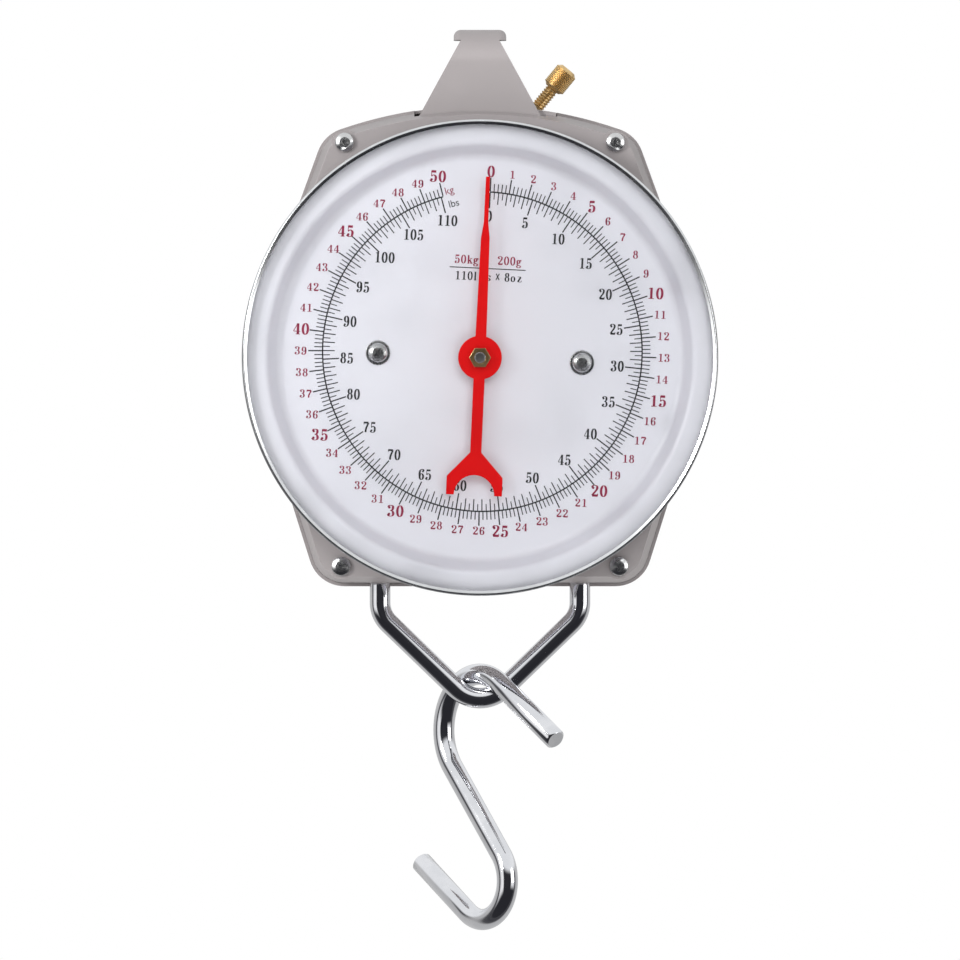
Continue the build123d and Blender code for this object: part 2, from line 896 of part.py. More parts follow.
def make_loop_bushes():
    bore = loop_radius + bush_slide_gap
    outer = bore + bush_wall
    bushes = []
    for x in both_sides(loop_spread):
        bush = upright(x, 0, outer, floor_under + bush_recess, floor_top)
        bush += upright(x, 0, outer + bush_flange, floor_top, floor_top + bush_flange_wall)
        bushes.append(bush - upright(x, 0, bore, floor_under - 5, floor_top + 5))
    return Compound(bushes)


def make_travel_stops():
    top = yoke_height - yoke_half_height - travel - stop_gap
    long_half = stop_length / 2
    half = stop_width / 2
    return Compound([
        block(x - long_half, x + long_half, -half, half, floor_top, top)
        for x in both_sides(stop_x)
    ])


# ---- S-hook ----

def hook_path():
    # centre line in the hook's own plane, crown of the upper bend above the origin
    heading = radians(hook_arm_heading - hook_lean)
    towards = Vector(cos(heading), sin(heading))
    centre = Vector(0, -hook_upper_bend)
    bend_start = centre + Vector(towards.Y, -towards.X) * hook_upper_bend
    arm = Line(bend_start - towards * hook_upper_arm, bend_start)
    upper = JernArc(bend_start, towards, hook_upper_bend, hook_upper_turn)
    diagonal = Line(upper @ 1, (upper @ 1) + (upper % 1) * hook_diagonal)
    lower = JernArc(diagonal @ 1, diagonal % 1, hook_lower_bend, -hook_lower_turn)
    free = Line(lower @ 1, (lower @ 1) + (lower % 1) * hook_lower_arm)
    return arm + upper + diagonal + lower + free


def hook_crown(hook_points):
    # lowest crown height at which the two crossing rods stay one gap apart everywhere
    reach = loop_radius + hook_radius + hook_gap
    height = loop_bottom
    for low in sample(loop_path()):
        for high in hook_points:
            aside = (high.X - low.X) ** 2 + (high.Y - low.Y) ** 2
            if aside < reach ** 2 and low.Z < loop_corner:
                height = max(height, low.Z - high.Z + sqrt(reach ** 2 - aside))
    return height


def sample(path, count=160):
    return [path @ (step / count) for step in range(count + 1)]


def make_s_hook():
    turn = radians(hook_swivel)
    across = Vector(sin(turn), -cos(turn), 0)
    plane = Plane(origin=(0, 0, 0), x_dir=across, z_dir=across.cross(Vector(0, 0, 1)))
    path = plane * hook_path()
    bend = [point for point in sample(path) if point.Z > -hook_upper_bend]
    path = Pos(0, 0, hook_crown(bend)) * path
    section = Plane(origin=path @ 0, z_dir=path % 0) * Circle(hook_radius)
    return sweep(section, path=path)


# ---- saving ----

def save(name, shape):
    export_step(Pos(0, 0, -hang_height) * shape, f"parts/{name}.step")


os.makedirs("parts", exist_ok=True)

save("front_case", make_front_case())
save("back_case", make_back_case())
save("corner_pillars", make_corner_pillars())
save("case_screws", make_case_screws())

save("hanger_frame", make_hanger_frame())
save("frame_spacers", make_frame_spacers())
save("frame_rivets", make_frame_rivets())
save("spring_anchor_pins", make_spring_anchor_pins())
save("dial_standoffs", make_dial_standoffs())

save("zero_bridge", make_zero_bridge())
save("zero_bush", make_zero_bush())
save("zero_screw", make_zero_screw())
save("zero_knob", make_zero_knob())
save("zero_pad", make_zero_pad())
save("zero_lever", make_zero_lever())
save("zero_lever_pivot", make_lever_pivot())
save("zero_lever_spacers", make_lever_spacers())
save("tare_spring", make_tare_spring())

save("dial_pan", make_dial_pan())
save("dial_screws", make_dial_screws())
save("dial_washers", make_dial_washers())
save("bezel_ring", make_bezel_ring())
save("lens", make_lens())
save("lens_gasket", make_lens_gasket())

save("pointer", make_pointer())
save("pointer_hub", make_pointer_hub())
save("pointer_nut", make_pointer_nut())
save("pinion_shaft", make_pinion_shaft())
save("front_bearing", make_bearing(-1))
save("rear_bearing", make_bearing(1))
save("shaft_collars", make_shaft_collars())
save("pinion_gear", make_pinion_gear())
save("rack", make_rack())
save("rack_guide", make_rack_guide())

save("left_main_spring", make_main_spring(-1))
save("right_main_spring", make_main_spring(1))
save("yoke_front_strip", make_yoke_strip(-yoke_outer, -yoke_inner))
save("yoke_back_strip", make_yoke_strip(yoke_inner, yoke_outer))
save("loop_pins", make_yoke_pins(both_sides(loop_spread), loop_pin_radius))
save("spring_pins", make_yoke_pins(both_sides(spring_spread), spring_pin_radius))
save("rack_pin", make_yoke_pins([rack_pin_x], rack_pin_radius))
save("rack_spacers", make_rack_spacers())
save("tare_pin", make_yoke_pins([tare_x], tare_pin_radius))
save("load_loop", make_load_loop())
save("loop_guide_bushes", make_loop_bushes())
save("travel_stops", make_travel_stops())
save("s_hook", make_s_hook())
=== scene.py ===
import json
from math import cos, pi, radians, sin, tan, tau

import bmesh
import bpy
from mathutils import Matrix, Vector

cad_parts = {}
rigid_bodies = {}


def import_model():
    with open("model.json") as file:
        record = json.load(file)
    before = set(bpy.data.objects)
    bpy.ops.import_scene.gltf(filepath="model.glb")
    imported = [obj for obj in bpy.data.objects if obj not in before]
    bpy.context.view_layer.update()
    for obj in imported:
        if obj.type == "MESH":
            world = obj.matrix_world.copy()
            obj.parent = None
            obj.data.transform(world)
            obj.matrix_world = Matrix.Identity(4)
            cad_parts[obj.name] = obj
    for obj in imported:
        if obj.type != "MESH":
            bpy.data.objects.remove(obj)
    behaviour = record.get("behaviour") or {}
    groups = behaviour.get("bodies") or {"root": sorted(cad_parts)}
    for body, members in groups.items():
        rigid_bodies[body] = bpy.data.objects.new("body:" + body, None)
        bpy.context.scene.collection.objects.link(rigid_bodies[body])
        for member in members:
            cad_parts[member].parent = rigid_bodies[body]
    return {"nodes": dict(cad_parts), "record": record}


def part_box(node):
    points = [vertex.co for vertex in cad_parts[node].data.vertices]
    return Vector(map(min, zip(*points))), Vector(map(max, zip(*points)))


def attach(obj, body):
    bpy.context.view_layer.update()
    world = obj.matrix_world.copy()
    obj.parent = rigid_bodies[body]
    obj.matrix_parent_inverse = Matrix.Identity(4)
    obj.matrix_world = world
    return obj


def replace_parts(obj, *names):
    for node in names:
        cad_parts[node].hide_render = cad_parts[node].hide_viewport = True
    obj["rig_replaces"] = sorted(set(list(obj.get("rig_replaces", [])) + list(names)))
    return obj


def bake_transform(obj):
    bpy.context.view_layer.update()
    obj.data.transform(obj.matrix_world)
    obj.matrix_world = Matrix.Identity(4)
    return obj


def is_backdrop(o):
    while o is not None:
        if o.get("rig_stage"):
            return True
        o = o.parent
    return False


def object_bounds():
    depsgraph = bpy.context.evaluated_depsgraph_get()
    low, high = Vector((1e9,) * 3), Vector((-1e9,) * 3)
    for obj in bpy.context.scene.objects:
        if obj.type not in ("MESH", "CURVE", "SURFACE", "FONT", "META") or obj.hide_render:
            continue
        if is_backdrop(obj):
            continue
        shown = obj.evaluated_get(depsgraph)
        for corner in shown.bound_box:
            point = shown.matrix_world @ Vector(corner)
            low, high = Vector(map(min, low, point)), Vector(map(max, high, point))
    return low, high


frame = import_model()
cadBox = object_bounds()

# sizes below are in millimetres about the pointer's pivot, and at() moves them to the frame
unit = 0.001
shaftLow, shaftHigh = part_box("pinion_shaft")
pivot = Vector(((shaftLow.x + shaftHigh.x) / 2, 0, (shaftLow.z + shaftHigh.z) / 2))
print("frame loaded, pivot at", [round(value, 4) for value in pivot])


def at(x, y, z):
    return Vector((x, y, z)) * unit + pivot


def depthOf(node, side):
    # depth of a node's front (0) or back (1)
    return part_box(node)[side].y / unit


# node wiring, for materials and for geometry

class Wire:
    def __init__(self, tree, socket=None):
        self.tree = tree
        self.socket = socket

    def node(self, kind, settings=None, inputs=None, output=0):
        made = self.tree.nodes.new(kind)
        for name, value in (settings or {}).items():
            if name == "stops":
                elements = made.color_ramp.elements
                elements.remove(elements[1])
                elements[0].position, elements[0].color = value[0]
                for position, colour in value[1:]:
                    elements.new(position).color = colour
            else:
                setattr(made, name, value)
        for key, value in (inputs or {}).items():
            if isinstance(value, Wire):
                self.tree.links.new(value.socket, made.inputs[key])
            else:
                made.inputs[key].default_value = value
        return Wire(self.tree, made.outputs[output] if len(made.outputs) else None)

    def maths(self, operation, *values):
        return self.node("ShaderNodeMath", {"operation": operation}, dict(enumerate(values)))

    def __add__(self, other):
        return self.maths("ADD", self, other)

    def __radd__(self, other):
        return self.maths("ADD", other, self)

    def __sub__(self, other):
        return self.maths("SUBTRACT", self, other)

    def __rsub__(self, other):
        return self.maths("SUBTRACT", other, self)

    def __mul__(self, other):
        return self.maths("MULTIPLY", self, other)

    def __rmul__(self, other):
        return self.maths("MULTIPLY", other, self)

    def __truediv__(self, other):
        return self.maths("DIVIDE", self, other)

    def __mod__(self, other):
        return self.maths("FLOORED_MODULO", self, other)

    def floor(self):
        return self.maths("FLOOR", self)

    def between(self, low, high):
        # smooth 0 to 1 as the value goes from low to high
        settings = {"interpolation_type": "SMOOTHSTEP"}
        return self.node("ShaderNodeMapRange", settings, {0: self, 1: low, 2: high})

    def tint(self, low, high):
        # colour from low to high as the value goes from 0 to 1
        colours = {6: (*low, 1), 7: (*high, 1)}
        return self.node("ShaderNodeMix", {"data_type": "RGBA"}, {0: self, **colours}, 2)


# materials

def grain(start, size, detail=3.0, stretch=(1, 1, 1)):
    # noise with features of about this many millimetres
    place = start.node("ShaderNodeTexCoord", output="Object")
    place = start.node("ShaderNodeMapping", inputs={"Vector": place, "Scale": stretch})
    spread = {"Vector": place, "Scale": 1 / (size * unit), "Detail": detail}
    return start.node("ShaderNodeTexNoise", inputs=spread)


def relief(start, height, depth, strength=1.0, below=None):
    inputs = {"Height": height, "Distance": depth * unit, "Strength": strength}
    if below:
        inputs["Normal"] = below
    return start.node("ShaderNodeBump", inputs=inputs)


def material(name, build):
    made = bpy.data.materials.new(name)
    made.use_nodes = True
    made.node_tree.nodes.clear()
    start = Wire(made.node_tree)
    start.node("ShaderNodeOutputMaterial", inputs={"Surface": build(start)})
    return made


def principled(start, inputs):
    return start.node("ShaderNodeBsdfPrincipled", inputs=inputs)


def paint(dark, light, rough, peel, coat=0.0, flake=0.0, metal=0.0, shine=0.5):
    # sprayed or fired coat: slow colour drift, orange peel, sparse dust and rubbed spots
    def build(start):
        drift = grain(start, 38, 4)
        fine = grain(start, 1.1, 2)
        dust = grain(start, 0.35, 2).between(0.62, 0.74)
        rub = grain(start, 9, 6).between(0.5, 0.72)
        base = (drift * 0.8 + fine * 0.2).tint(dark, light)
        wavy = relief(start, fine, 0.012 * peel)
        return principled(start, {
            "Base Color": base,
            "Roughness": rub * 0.08 + dust * 0.1 + fine * 0.05 + rough,
            "Metallic": metal,
            "Specular IOR Level": shine,
            "Coat Weight": coat,
            "Coat Roughness": 0.12,
            "Normal": relief(start, grain(start, 0.22, 2), 0.004 * peel + 0.002 * flake, 0.7, wavy),
        })
    return build


def bareMetal(dark, light, smooth, rough, pits, streak=(1, 1, 1), size=0.5):
    # plated or turned metal: drawn lines one way, dull patches and small pits
    def build(start):
        lines = grain(start, size, 3, streak)
        patches = grain(start, 7, 5).between(0.42, 0.7)
        spots = grain(start, 0.55, 3).between(0.66, 0.78)
        shade = (lines * 0.55 + patches * 0.45).tint(dark, light)
        drawn = relief(start, lines, 0.004, 0.5)
        return principled(start, {
            "Base Color": shade,
            "Metallic": 1.0,
            "Roughness": lines * (rough - smooth) * 0.6 + patches * (rough - smooth) * 0.4 + smooth,
            "Normal": relief(start, spots, -0.02 * pits, 0.6, drawn),
        })
    return build


def ink(colour, worn):
    # screen printed ink, slightly uneven in its cover
    def build(start):
        cover = grain(start, 0.5, 4).between(0.25, 0.8)
        return principled(start, {
            "Base Color": cover.tint(worn, colour),
            "Roughness": cover * -0.15 + 0.5,
            "Normal": relief(start, grain(start, 0.3, 2), 0.004, 0.5),
        })
    return build


def moulded(dark, light, rough):
    # rubber or nylon: matt, with a fine moulded skin
    def build(start):
        skin = grain(start, 0.6, 5)
        return principled(start, {
            "Base Color": grain(start, 6, 4).tint(dark, light),
            "Roughness": skin * 0.2 + rough,
            "Normal": relief(start, skin, 0.03, 0.6),
        })
    return build


def clearGlass(start):
    smear = grain(start, 16, 4).between(0.45, 0.75)
    through = start.node("ShaderNodeBsdfTransparent", inputs={"Color": (0.985, 0.99, 0.985, 1)})
    gloss = {"Color": (1, 1, 1, 1), "Roughness": smear * 0.05 + 0.01}
    shine = start.node("ShaderNodeBsdfAnisotropic", inputs=gloss)
    edge = start.node("ShaderNodeFresnel", inputs={"IOR": 1.46})
    return start.node("ShaderNodeMixShader", inputs={0: edge * (smear * 0.2 + 0.8), 1: through, 2: shine})


finish = {
    "case_paint": material("satinGreyPaint", paint(
        (0.24, 0.22, 0.22), (0.272, 0.25, 0.25), 0.42, 1.0, coat=0.08, flake=1.0, metal=0.25)),
    "chrome": material("brightChrome", bareMetal(
        (0.74, 0.75, 0.78), (0.9, 0.9, 0.92), 0.035, 0.12, 0.5)),
    "rolledChrome": material("rolledChrome", bareMetal(
        (0.66, 0.67, 0.68), (0.82, 0.83, 0.84), 0.22, 0.3, 0.3)),
    "screwChrome": material("screwChrome", bareMetal(
        (0.62, 0.62, 0.62), (0.82, 0.82, 0.82), 0.22, 0.34, 0.4)),
    "white_enamel": material("whiteEnamel", paint(
        (0.715, 0.705, 0.77), (0.745, 0.735, 0.8), 0.26, 0.4, coat=0.25)),
    "red_paint": material("redEnamel", paint(
        (0.63, 0.0015, 0.002), (0.7, 0.002, 0.003), 0.5, 0.4, shine=0.12)),
    "brass": material("turnedBrass", bareMetal(
        (0.62, 0.42, 0.18), (0.86, 0.64, 0.34), 0.3, 0.44, 0.4)),
    "zinc_steel": material("zincPlate", bareMetal(
        (0.46, 0.46, 0.47), (0.66, 0.66, 0.64), 0.25, 0.5, 0.5, (1, 1, 6), 1.2)),
    "spring_steel": material("oiledSpringSteel", bareMetal(
        (0.2, 0.2, 0.21), (0.42, 0.42, 0.43), 0.22, 0.42, 0.4, (1, 1, 4))),
    "glass": material("lensGlass", clearGlass),
    "rubber": material("blackRubber", moulded((0.018, 0.018, 0.018), (0.035, 0.035, 0.036), 0.6)),
    "nylon": material("naturalNylon", moulded((0.74, 0.72, 0.64), (0.86, 0.84, 0.78), 0.45)),
    "blackInk": material("blackInk", ink((0.012, 0.012, 0.016), (0.03, 0.03, 0.036))),
    "crimsonInk": material("crimsonInk", ink((0.24, 0.006, 0.04), (0.32, 0.02, 0.07))),
}
print("materials:", len(finish))


# mesh helpers

def addObject(name, mesh):
    piece = bpy.data.objects.new(name, mesh)
    bpy.context.scene.collection.objects.link(piece)
    return piece


def welded(mesh, reach):
    tidy = bmesh.new()
    tidy.from_mesh(mesh)
    bmesh.ops.remove_doubles(tidy, verts=tidy.verts, dist=reach)
    return tidy


def dress(mesh, look):
    mesh.materials.clear()
    mesh.materials.append(look)


def meshPiece(name, points, faces, look, smooth=35.0):
    # a closed mesh with its normals outwards; smooth is the angle past which an edge stays sharp
    mesh = bpy.data.meshes.new(name)
    mesh.from_pydata(points, [], faces)
    tidy = welded(mesh, 0.0000005)
    bmesh.ops.recalc_face_normals(tidy, faces=tidy.faces)
    tidy.to_mesh(mesh)
    tidy.free()
    mesh.materials.append(look)
    shade(mesh, smooth)
    return addObject(name, mesh)


def shade(mesh, smooth):
    mesh.shade_smooth()
    mesh.set_sharp_from_angle(angle=radians(smooth))


def finalMesh(piece):
    # mesh of a piece with its modifiers done; the piece itself goes
    graph = bpy.context.evaluated_depsgraph_get()
    mesh = bpy.data.meshes.new_from_object(piece.evaluated_get(graph), depsgraph=graph)
    bpy.data.objects.remove(piece)
    return mesh


def settle(piece, body, slot, *nodes):
    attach(piece, body)
    if nodes:
        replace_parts(piece, *nodes)
    return piece


def filleted(corners, closed=False, steps=10):
    # corners are (point, bend radius); each bend becomes a true arc
    count = len(corners)
    line = []
    for index, (corner, radius) in enumerate(corners):
        corner = Vector(corner)
        if not radius or (not closed and index in (0, count - 1)):
            line.append(corner)
            continue
        before = (Vector(corners[index - 1][0]) - corner).normalized()
        after = (Vector(corners[(index + 1) % count][0]) - corner).normalized()
        half = before.angle(after) / 2
        centre = corner + (before + after).normalized() * (radius / sin(half))
        reach = radius / tan(half)
        first = corner + before * reach - centre
        last = corner + after * reach - centre
        sweep = pi - 2 * half
        for step in range(steps + 1):
            share = step / steps
            mixed = first * sin((1 - share) * sweep) + last * sin(share * sweep)
            line.append(centre + mixed / sin(sweep))
    return line


def ringFaces(rings, width, closedAlong, closedRound=True):
    faces = []
    for ring in range(rings if closedAlong else rings - 1):
        following = (ring + 1) % rings
        for spot in range(width if closedRound else width - 1):
            beside = (spot + 1) % width
            corners = (ring * width + spot, ring * width + beside,
                       following * width + beside, following * width + spot)
            faces.append(corners)
    return faces


def lathe(name, profile, centre, axis, look, steps=96, smooth=35.0):
    # profile is a closed line of (radius, distance along the axis), in millimetres
    axis = Vector(axis).normalized()
    side = axis.orthogonal().normalized()
    up = axis.cross(side)
    points = []
    for step in range(steps):
        turn = tau * step / steps
        outward = side * cos(turn) + up * sin(turn)
        for radius, along in profile:
            points.append(Vector(centre) + (outward * radius + axis * along) * unit)
    return meshPiece(name, points, ringFaces(steps, len(profile), True), look, smooth)


def sweepTube(name, line, radius, look, sides=24, chamfer=0.0, smooth=45.0):
    # round bar along a line of points in millimetres, its frame carried along without twist
    line = [at(*spot) for spot in line]
    first = (line[1] - line[0]).normalized()
    last = (line[-1] - line[-2]).normalized()
    radii = [radius * unit] * len(line)
    if chamfer:
        step = chamfer * unit
        line = [line[0], line[0] + first * step] + line[1:-1] + [line[-1] - last * step, line[-1]]
        radii = [radius * unit - step] + [radius * unit] * (len(line) - 2) + [radius * unit - step]
    across = first.orthogonal().normalized()
    points = []
    for index, spot in enumerate(line):
        before = line[max(index - 1, 0)]
        after = line[min(index + 1, len(line) - 1)]
        along = (after - before).normalized()
        across = (across - along * across.dot(along)).normalized()
        other = along.cross(across)
        for side in range(sides):
            turn = tau * side / sides
            outward = across * cos(turn) + other * sin(turn)
            points.append(spot + outward * radii[index])
    faces = ringFaces(len(line), sides, False)
    faces.append(tuple(range(sides)))
    faces.append(tuple(range(len(points) - sides, len(points))))
    return meshPiece(name, points, faces, look, smooth)


def refined(node, name, look, edge, smooth=30.0, flat=0.4):
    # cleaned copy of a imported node, with its edges broken as a press or tool leaves them
    mesh = frame["nodes"][node].data.copy()
    if "custom_normal" in mesh.attributes:
        mesh.attributes.remove(mesh.attributes["custom_normal"])
    tidy = welded(mesh, 0.000002)
    bmesh.ops.dissolve_limit(tidy, angle_limit=radians(flat), verts=tidy.verts, edges=tidy.edges)
    tidy.to_mesh(mesh)
    tidy.free()
    dress(mesh, look)
    shade(mesh, smooth)
    piece = addObject(name, mesh)
    broken = piece.modifiers.new("brokenEdges", "BEVEL")
    broken.width = edge * unit
    broken.segments = 2
    broken.limit_method = "ANGLE"
    broken.angle_limit = radians(38)
    even = piece.modifiers.new("evenShading", "WEIGHTED_NORMAL")
    even.keep_sharp = True
    return piece


def islands(node):
    # low and high corner of every separate solid in a node
    tidy = welded(frame["nodes"][node].data, 0.000002)
    left = set(tidy.verts)
    found = []
    while left:
        stack = [left.pop()]
        group = []
        while stack:
            corner = stack.pop()
            group.append(corner.co.copy())
            for edge in corner.link_edges:
                other = edge.other_vert(corner)
                if other in left:
                    left.remove(other)
                    stack.append(other)
        low = Vector([min(spot[axis] for spot in group) for axis in range(3)])
        high = Vector([max(spot[axis] for spot in group) for axis in range(3)])
        found.append((low, high))
    tidy.free()
    return sorted(found, key=lambda box: tuple(box[0]))


# geometry node helpers

def growTree(name, inputs):
    tree = bpy.data.node_groups.new(name, "GeometryNodeTree")
    tree.interface.new_socket("Geometry", in_out="OUTPUT", socket_type="NodeSocketGeometry")
    names = {}
    for label, kind in inputs.items():
        socket = tree.interface.new_socket(label, in_out="INPUT", socket_type="NodeSocket" + kind)
        names[label] = socket.identifier
    source = tree.nodes.new("NodeGroupInput")
    wires = {label: Wire(tree, source.outputs[label]) for label in inputs}
    return Wire(tree), wires, names


def closeTree(start, points, master, turn, look):
    # the master on every point, made real and painted
    inputs = {"Points": points, "Instance": master, "Rotation": turn}
    placed = start.node("GeometryNodeInstanceOnPoints", inputs=inputs)
    whole = start.node("GeometryNodeRealizeInstances", inputs={0: placed})
    painted = start.node("GeometryNodeSetMaterial", inputs={"Geometry": whole, "Material": look})
    start.node("NodeGroupOutput", inputs={0: painted})


def grow(name, tree, names, values, smooth=None):
    # runs the tree once and keeps its result as a plain mesh
    holder = addObject(name + "Holder", bpy.data.meshes.new(name + "Holder"))
    modifier = holder.modifiers.new("grow", "NODES")
    modifier.node_group = tree
    for label, value in values.items():
        modifier[names[label]] = value
    mesh = finalMesh(holder)
    if smooth is not None:
        shade(mesh, smooth)
    return addObject(name, mesh)


# case shells and hanger: pressed sheet with softened edges

shellPieces = {
    "frontShell": ("front_case", 0.35),
    "backShell": ("back_case", 0.35),
    "hangerStrap": ("hanger_frame", 0.3),
    "zeroBridge": ("zero_bridge", 0.25),
}
for name, (node, edge) in shellPieces.items():
    settle(refined(node, name, finish["case_paint"], edge), "case", "case_paint", node)
print("case shells and hanger")


# dial pan, bezel and lens, all turned about the pivot

dial = {
    "wall": 0.8,
    "wallShift": 0.46,
    "holeBend": 0.2,
    "floorRadius": 72.3,
    "wallTop": 76.2,
    "outerRadius": 83.95,
    "holeRadius": 3.0,
    "innerBend": 3.6,
    "outerBend": 2.8,
    "lipBend": 0.35,
}
panRim = depthOf("dial_pan", 0)
panFloor = depthOf("dial_pan", 1) - dial["wall"]
panWall, shift = dial["wall"], dial["wallShift"]
panProfile = filleted([
    ((dial["holeRadius"], panFloor), dial["holeBend"]),
    ((dial["floorRadius"], panFloor), dial["innerBend"]),
    ((dial["wallTop"], panRim), dial["outerBend"]),
    ((dial["outerRadius"], panRim), dial["lipBend"]),
    ((dial["outerRadius"], panRim + panWall), dial["lipBend"]),
    ((dial["wallTop"] + shift, panRim + panWall), dial["outerBend"] - panWall),
    ((dial["floorRadius"] + shift, panFloor + panWall), dial["innerBend"] + panWall),
    ((dial["holeRadius"], panFloor + panWall), dial["holeBend"]),
], closed=True)
dialAxis = (0, 1, 0)
pan = lathe("dialPan", panProfile, at(0, 0, 0), dialAxis, finish["white_enamel"], 180, 50)
settle(pan, "case", "white_enamel", "dial_pan")

bezel = {
    "outerRadius": 85.0,
    "lipRadius": 83.2,
    "rearLipRadius": 82.0,
    "crestRadius": 84.3,
    "wall": 0.8,
    "roll": 0.4,
    "hem": 0.3,
}
bezelFront = depthOf("bezel_ring", 0)
bezelBack = depthOf("bezel_ring", 1)
outer, lip, wall = bezel["outerRadius"], bezel["lipRadius"], bezel["wall"]
bezelProfile = filleted([
    ((lip, bezelFront + wall * 0.75), 0.08),
    ((bezel["crestRadius"], bezelFront), bezel["roll"]),
    ((outer, bezelFront + wall * 0.9), bezel["roll"]),
    ((outer, bezelBack), 0.7),
    ((bezel["rearLipRadius"], bezelBack), bezel["hem"]),
    ((bezel["rearLipRadius"], bezelBack - wall), bezel["hem"]),
    ((outer - wall, bezelBack - wall), 0.12),
    ((outer - wall, bezelFront + wall), 0.12),
    ((lip, bezelFront + wall), 0.05),
], closed=True)
ring = lathe("bezelRing", bezelProfile, at(0, 0, 0), dialAxis, finish["rolledChrome"], 220, 40)
settle(ring, "case", "chrome", "bezel_ring")

lensFront = depthOf("lens", 0)
lensBack = depthOf("lens", 1)
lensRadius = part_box("lens")[1].x / unit
lensProfile = filleted([
    ((0, lensFront), 0),
    ((lensRadius, lensFront), 0.3),
    ((lensRadius, lensBack), 0.3),
    ((0, lensBack), 0),
], closed=True, steps=4)
glass = lathe("lensDisc", lensProfile, at(0, 0, 0), dialAxis, finish["glass"], 180)
settle(glass, "case", "glass", "lens")
print("dial pan, bezel and lens")


# pan head screws: crossed recess, rounded crown, cut thread

screw = {
    "headRadius": 3.45,
    "headHeight": 2.2,
    "crownBend": 1.0,
    "shankRadius": 1.74,
    "pitch": 0.6,
    "threadDepth": 0.3,
    "recessRadius": 2.1,
    "recessWidth": 1.1,
    "recessDepth": 1.5,
}


def threadedBar(name, radius, depth, pitch, length, look, sides=20, stepsPerTurn=5, start=0.6):
    # bar along +Y from zero, its surface rising and falling once for each turn of the thread
    rings = max(4, int(length / pitch * stepsPerTurn))
    points = []
    for ring in range(rings + 1):
        along = length * ring / rings
        taper = min(1.0, along / start, (length - along) / start)
        for side in range(sides):
            phase = (along / pitch + side / sides) % 1.0
            groove = depth * (1 - abs(2 * phase - 1)) * taper + depth * (1 - taper)
            reach = (radius - groove) * unit
            turn = tau * side / sides
            points.append((cos(turn) * reach, along * unit, sin(turn) * reach))
    faces = ringFaces(rings + 1, sides, False)
    faces.append(tuple(range(sides)))
    faces.append(tuple(range(rings * sides, (rings + 1) * sides)))
    return meshPiece(name, points, faces, look, 60)


def crossCutter():
    # two tapered blades and a centre cone, as a cross-point driver leaves them
    wide = screw["recessRadius"]
    half = screw["recessWidth"] / 2
    deep = screw["recessDepth"]
    cutters = []
    for turned in (False, True):
        top, low = (wide * 1.12, half * 1.1), (wide * 0.3, half * 0.7)
        points = []
        for depth, (long, thin) in ((-0.4, top), (deep, low)):
            for x, z in ((-long, -thin), (long, -thin), (long, thin), (-long, thin)):
                points.append(Vector((z, depth, x) if turned else (x, depth, z)) * unit)
        faces = [(0, 1, 2, 3), (4, 5, 6, 7), (0, 1, 5, 4), (1, 2, 6, 5), (2, 3, 7, 6), (3, 0, 4, 7)]
        cutters.append(meshPiece("blade", points, faces, finish["screwChrome"]))
    return cutters


def screwMaster(name, length):
    # head's top at zero, shank towards +Y
    tall = screw["headHeight"]
    head = lathe(name, filleted([
        ((0, 0), 0),
        ((screw["headRadius"] * 0.55, 0.1), 1.2),
        ((screw["headRadius"], 0.85), screw["crownBend"]),
        ((screw["headRadius"], tall), 0.15),
        ((0, tall), 0),
    ], closed=True, steps=6), (0, 0, 0), dialAxis, finish["screwChrome"], 40, 40)
    cutters = crossCutter()
    for cutter in cutters:
        cut = head.modifiers.new("recess", "BOOLEAN")
        cut.operation = "DIFFERENCE"
        cut.solver = "EXACT"
        cut.object = cutter
    mesh = finalMesh(head)
    shank = threadedBar(name + "Shank", screw["shankRadius"], screw["threadDepth"],
                        screw["pitch"], length, finish["screwChrome"])
    shank.data.transform(Matrix.Translation((0, (tall - 0.05) * unit, 0)))
    both = bmesh.new()
    both.from_mesh(mesh)
    both.from_mesh(shank.data)
    both.to_mesh(mesh)
    both.free()
    shade(mesh, 35)
    for spare in (*cutters, shank):
        bpy.data.objects.remove(spare)
    return addObject(name, mesh)


def screwTree():
    start, wires, names = growTree("screwsOnSpots", {
        "Spots": "Object",
        "Screw": "Object",
        "Seed": "Int",
        "Finish": "Material",
    })
    spots = start.node("GeometryNodeObjectInfo", inputs={"Object": wires["Spots"]}, output="Geometry")
    master = start.node("GeometryNodeObjectInfo", inputs={"Object": wires["Screw"]}, output="Geometry")
    turn = start.node("FunctionNodeRandomValue", {"data_type": "FLOAT"},
                      {2: 0.0, 3: tau, "Seed": wires["Seed"]}, 1)
    turn = start.node("ShaderNodeCombineXYZ", inputs={"Y": turn})
    closeTree(start, spots, master, turn, wires["Finish"])
    return start.tree, names


screwGroup, screwNames = screwTree()
screwSets = {
    "caseScrews": ("case_screws", 5),
    "dialScrews": ("dial_screws", 11),
}
for name, (node, seed) in screwSets.items():
    boxes = islands(node)
    low, high = boxes[0]
    master = screwMaster(name + "Master", (high.y - low.y) / unit - screw["headHeight"] - 0.2)
    middles = [((low.x + high.x) / 2, low.y, (low.z + high.z) / 2) for low, high in boxes]
    spots = bpy.data.meshes.new(name + "Spots")
    spots.from_pydata(middles, [], [])
    spots = addObject(name + "Spots", spots)
    values = {"Spots": spots, "Screw": master, "Seed": seed, "Finish": finish["screwChrome"]}
    screws = grow(name, screwGroup, screwNames, values, 35)
    bpy.data.objects.remove(master)
    bpy.data.objects.remove(spots)
    settle(screws, "case", "chrome", node)

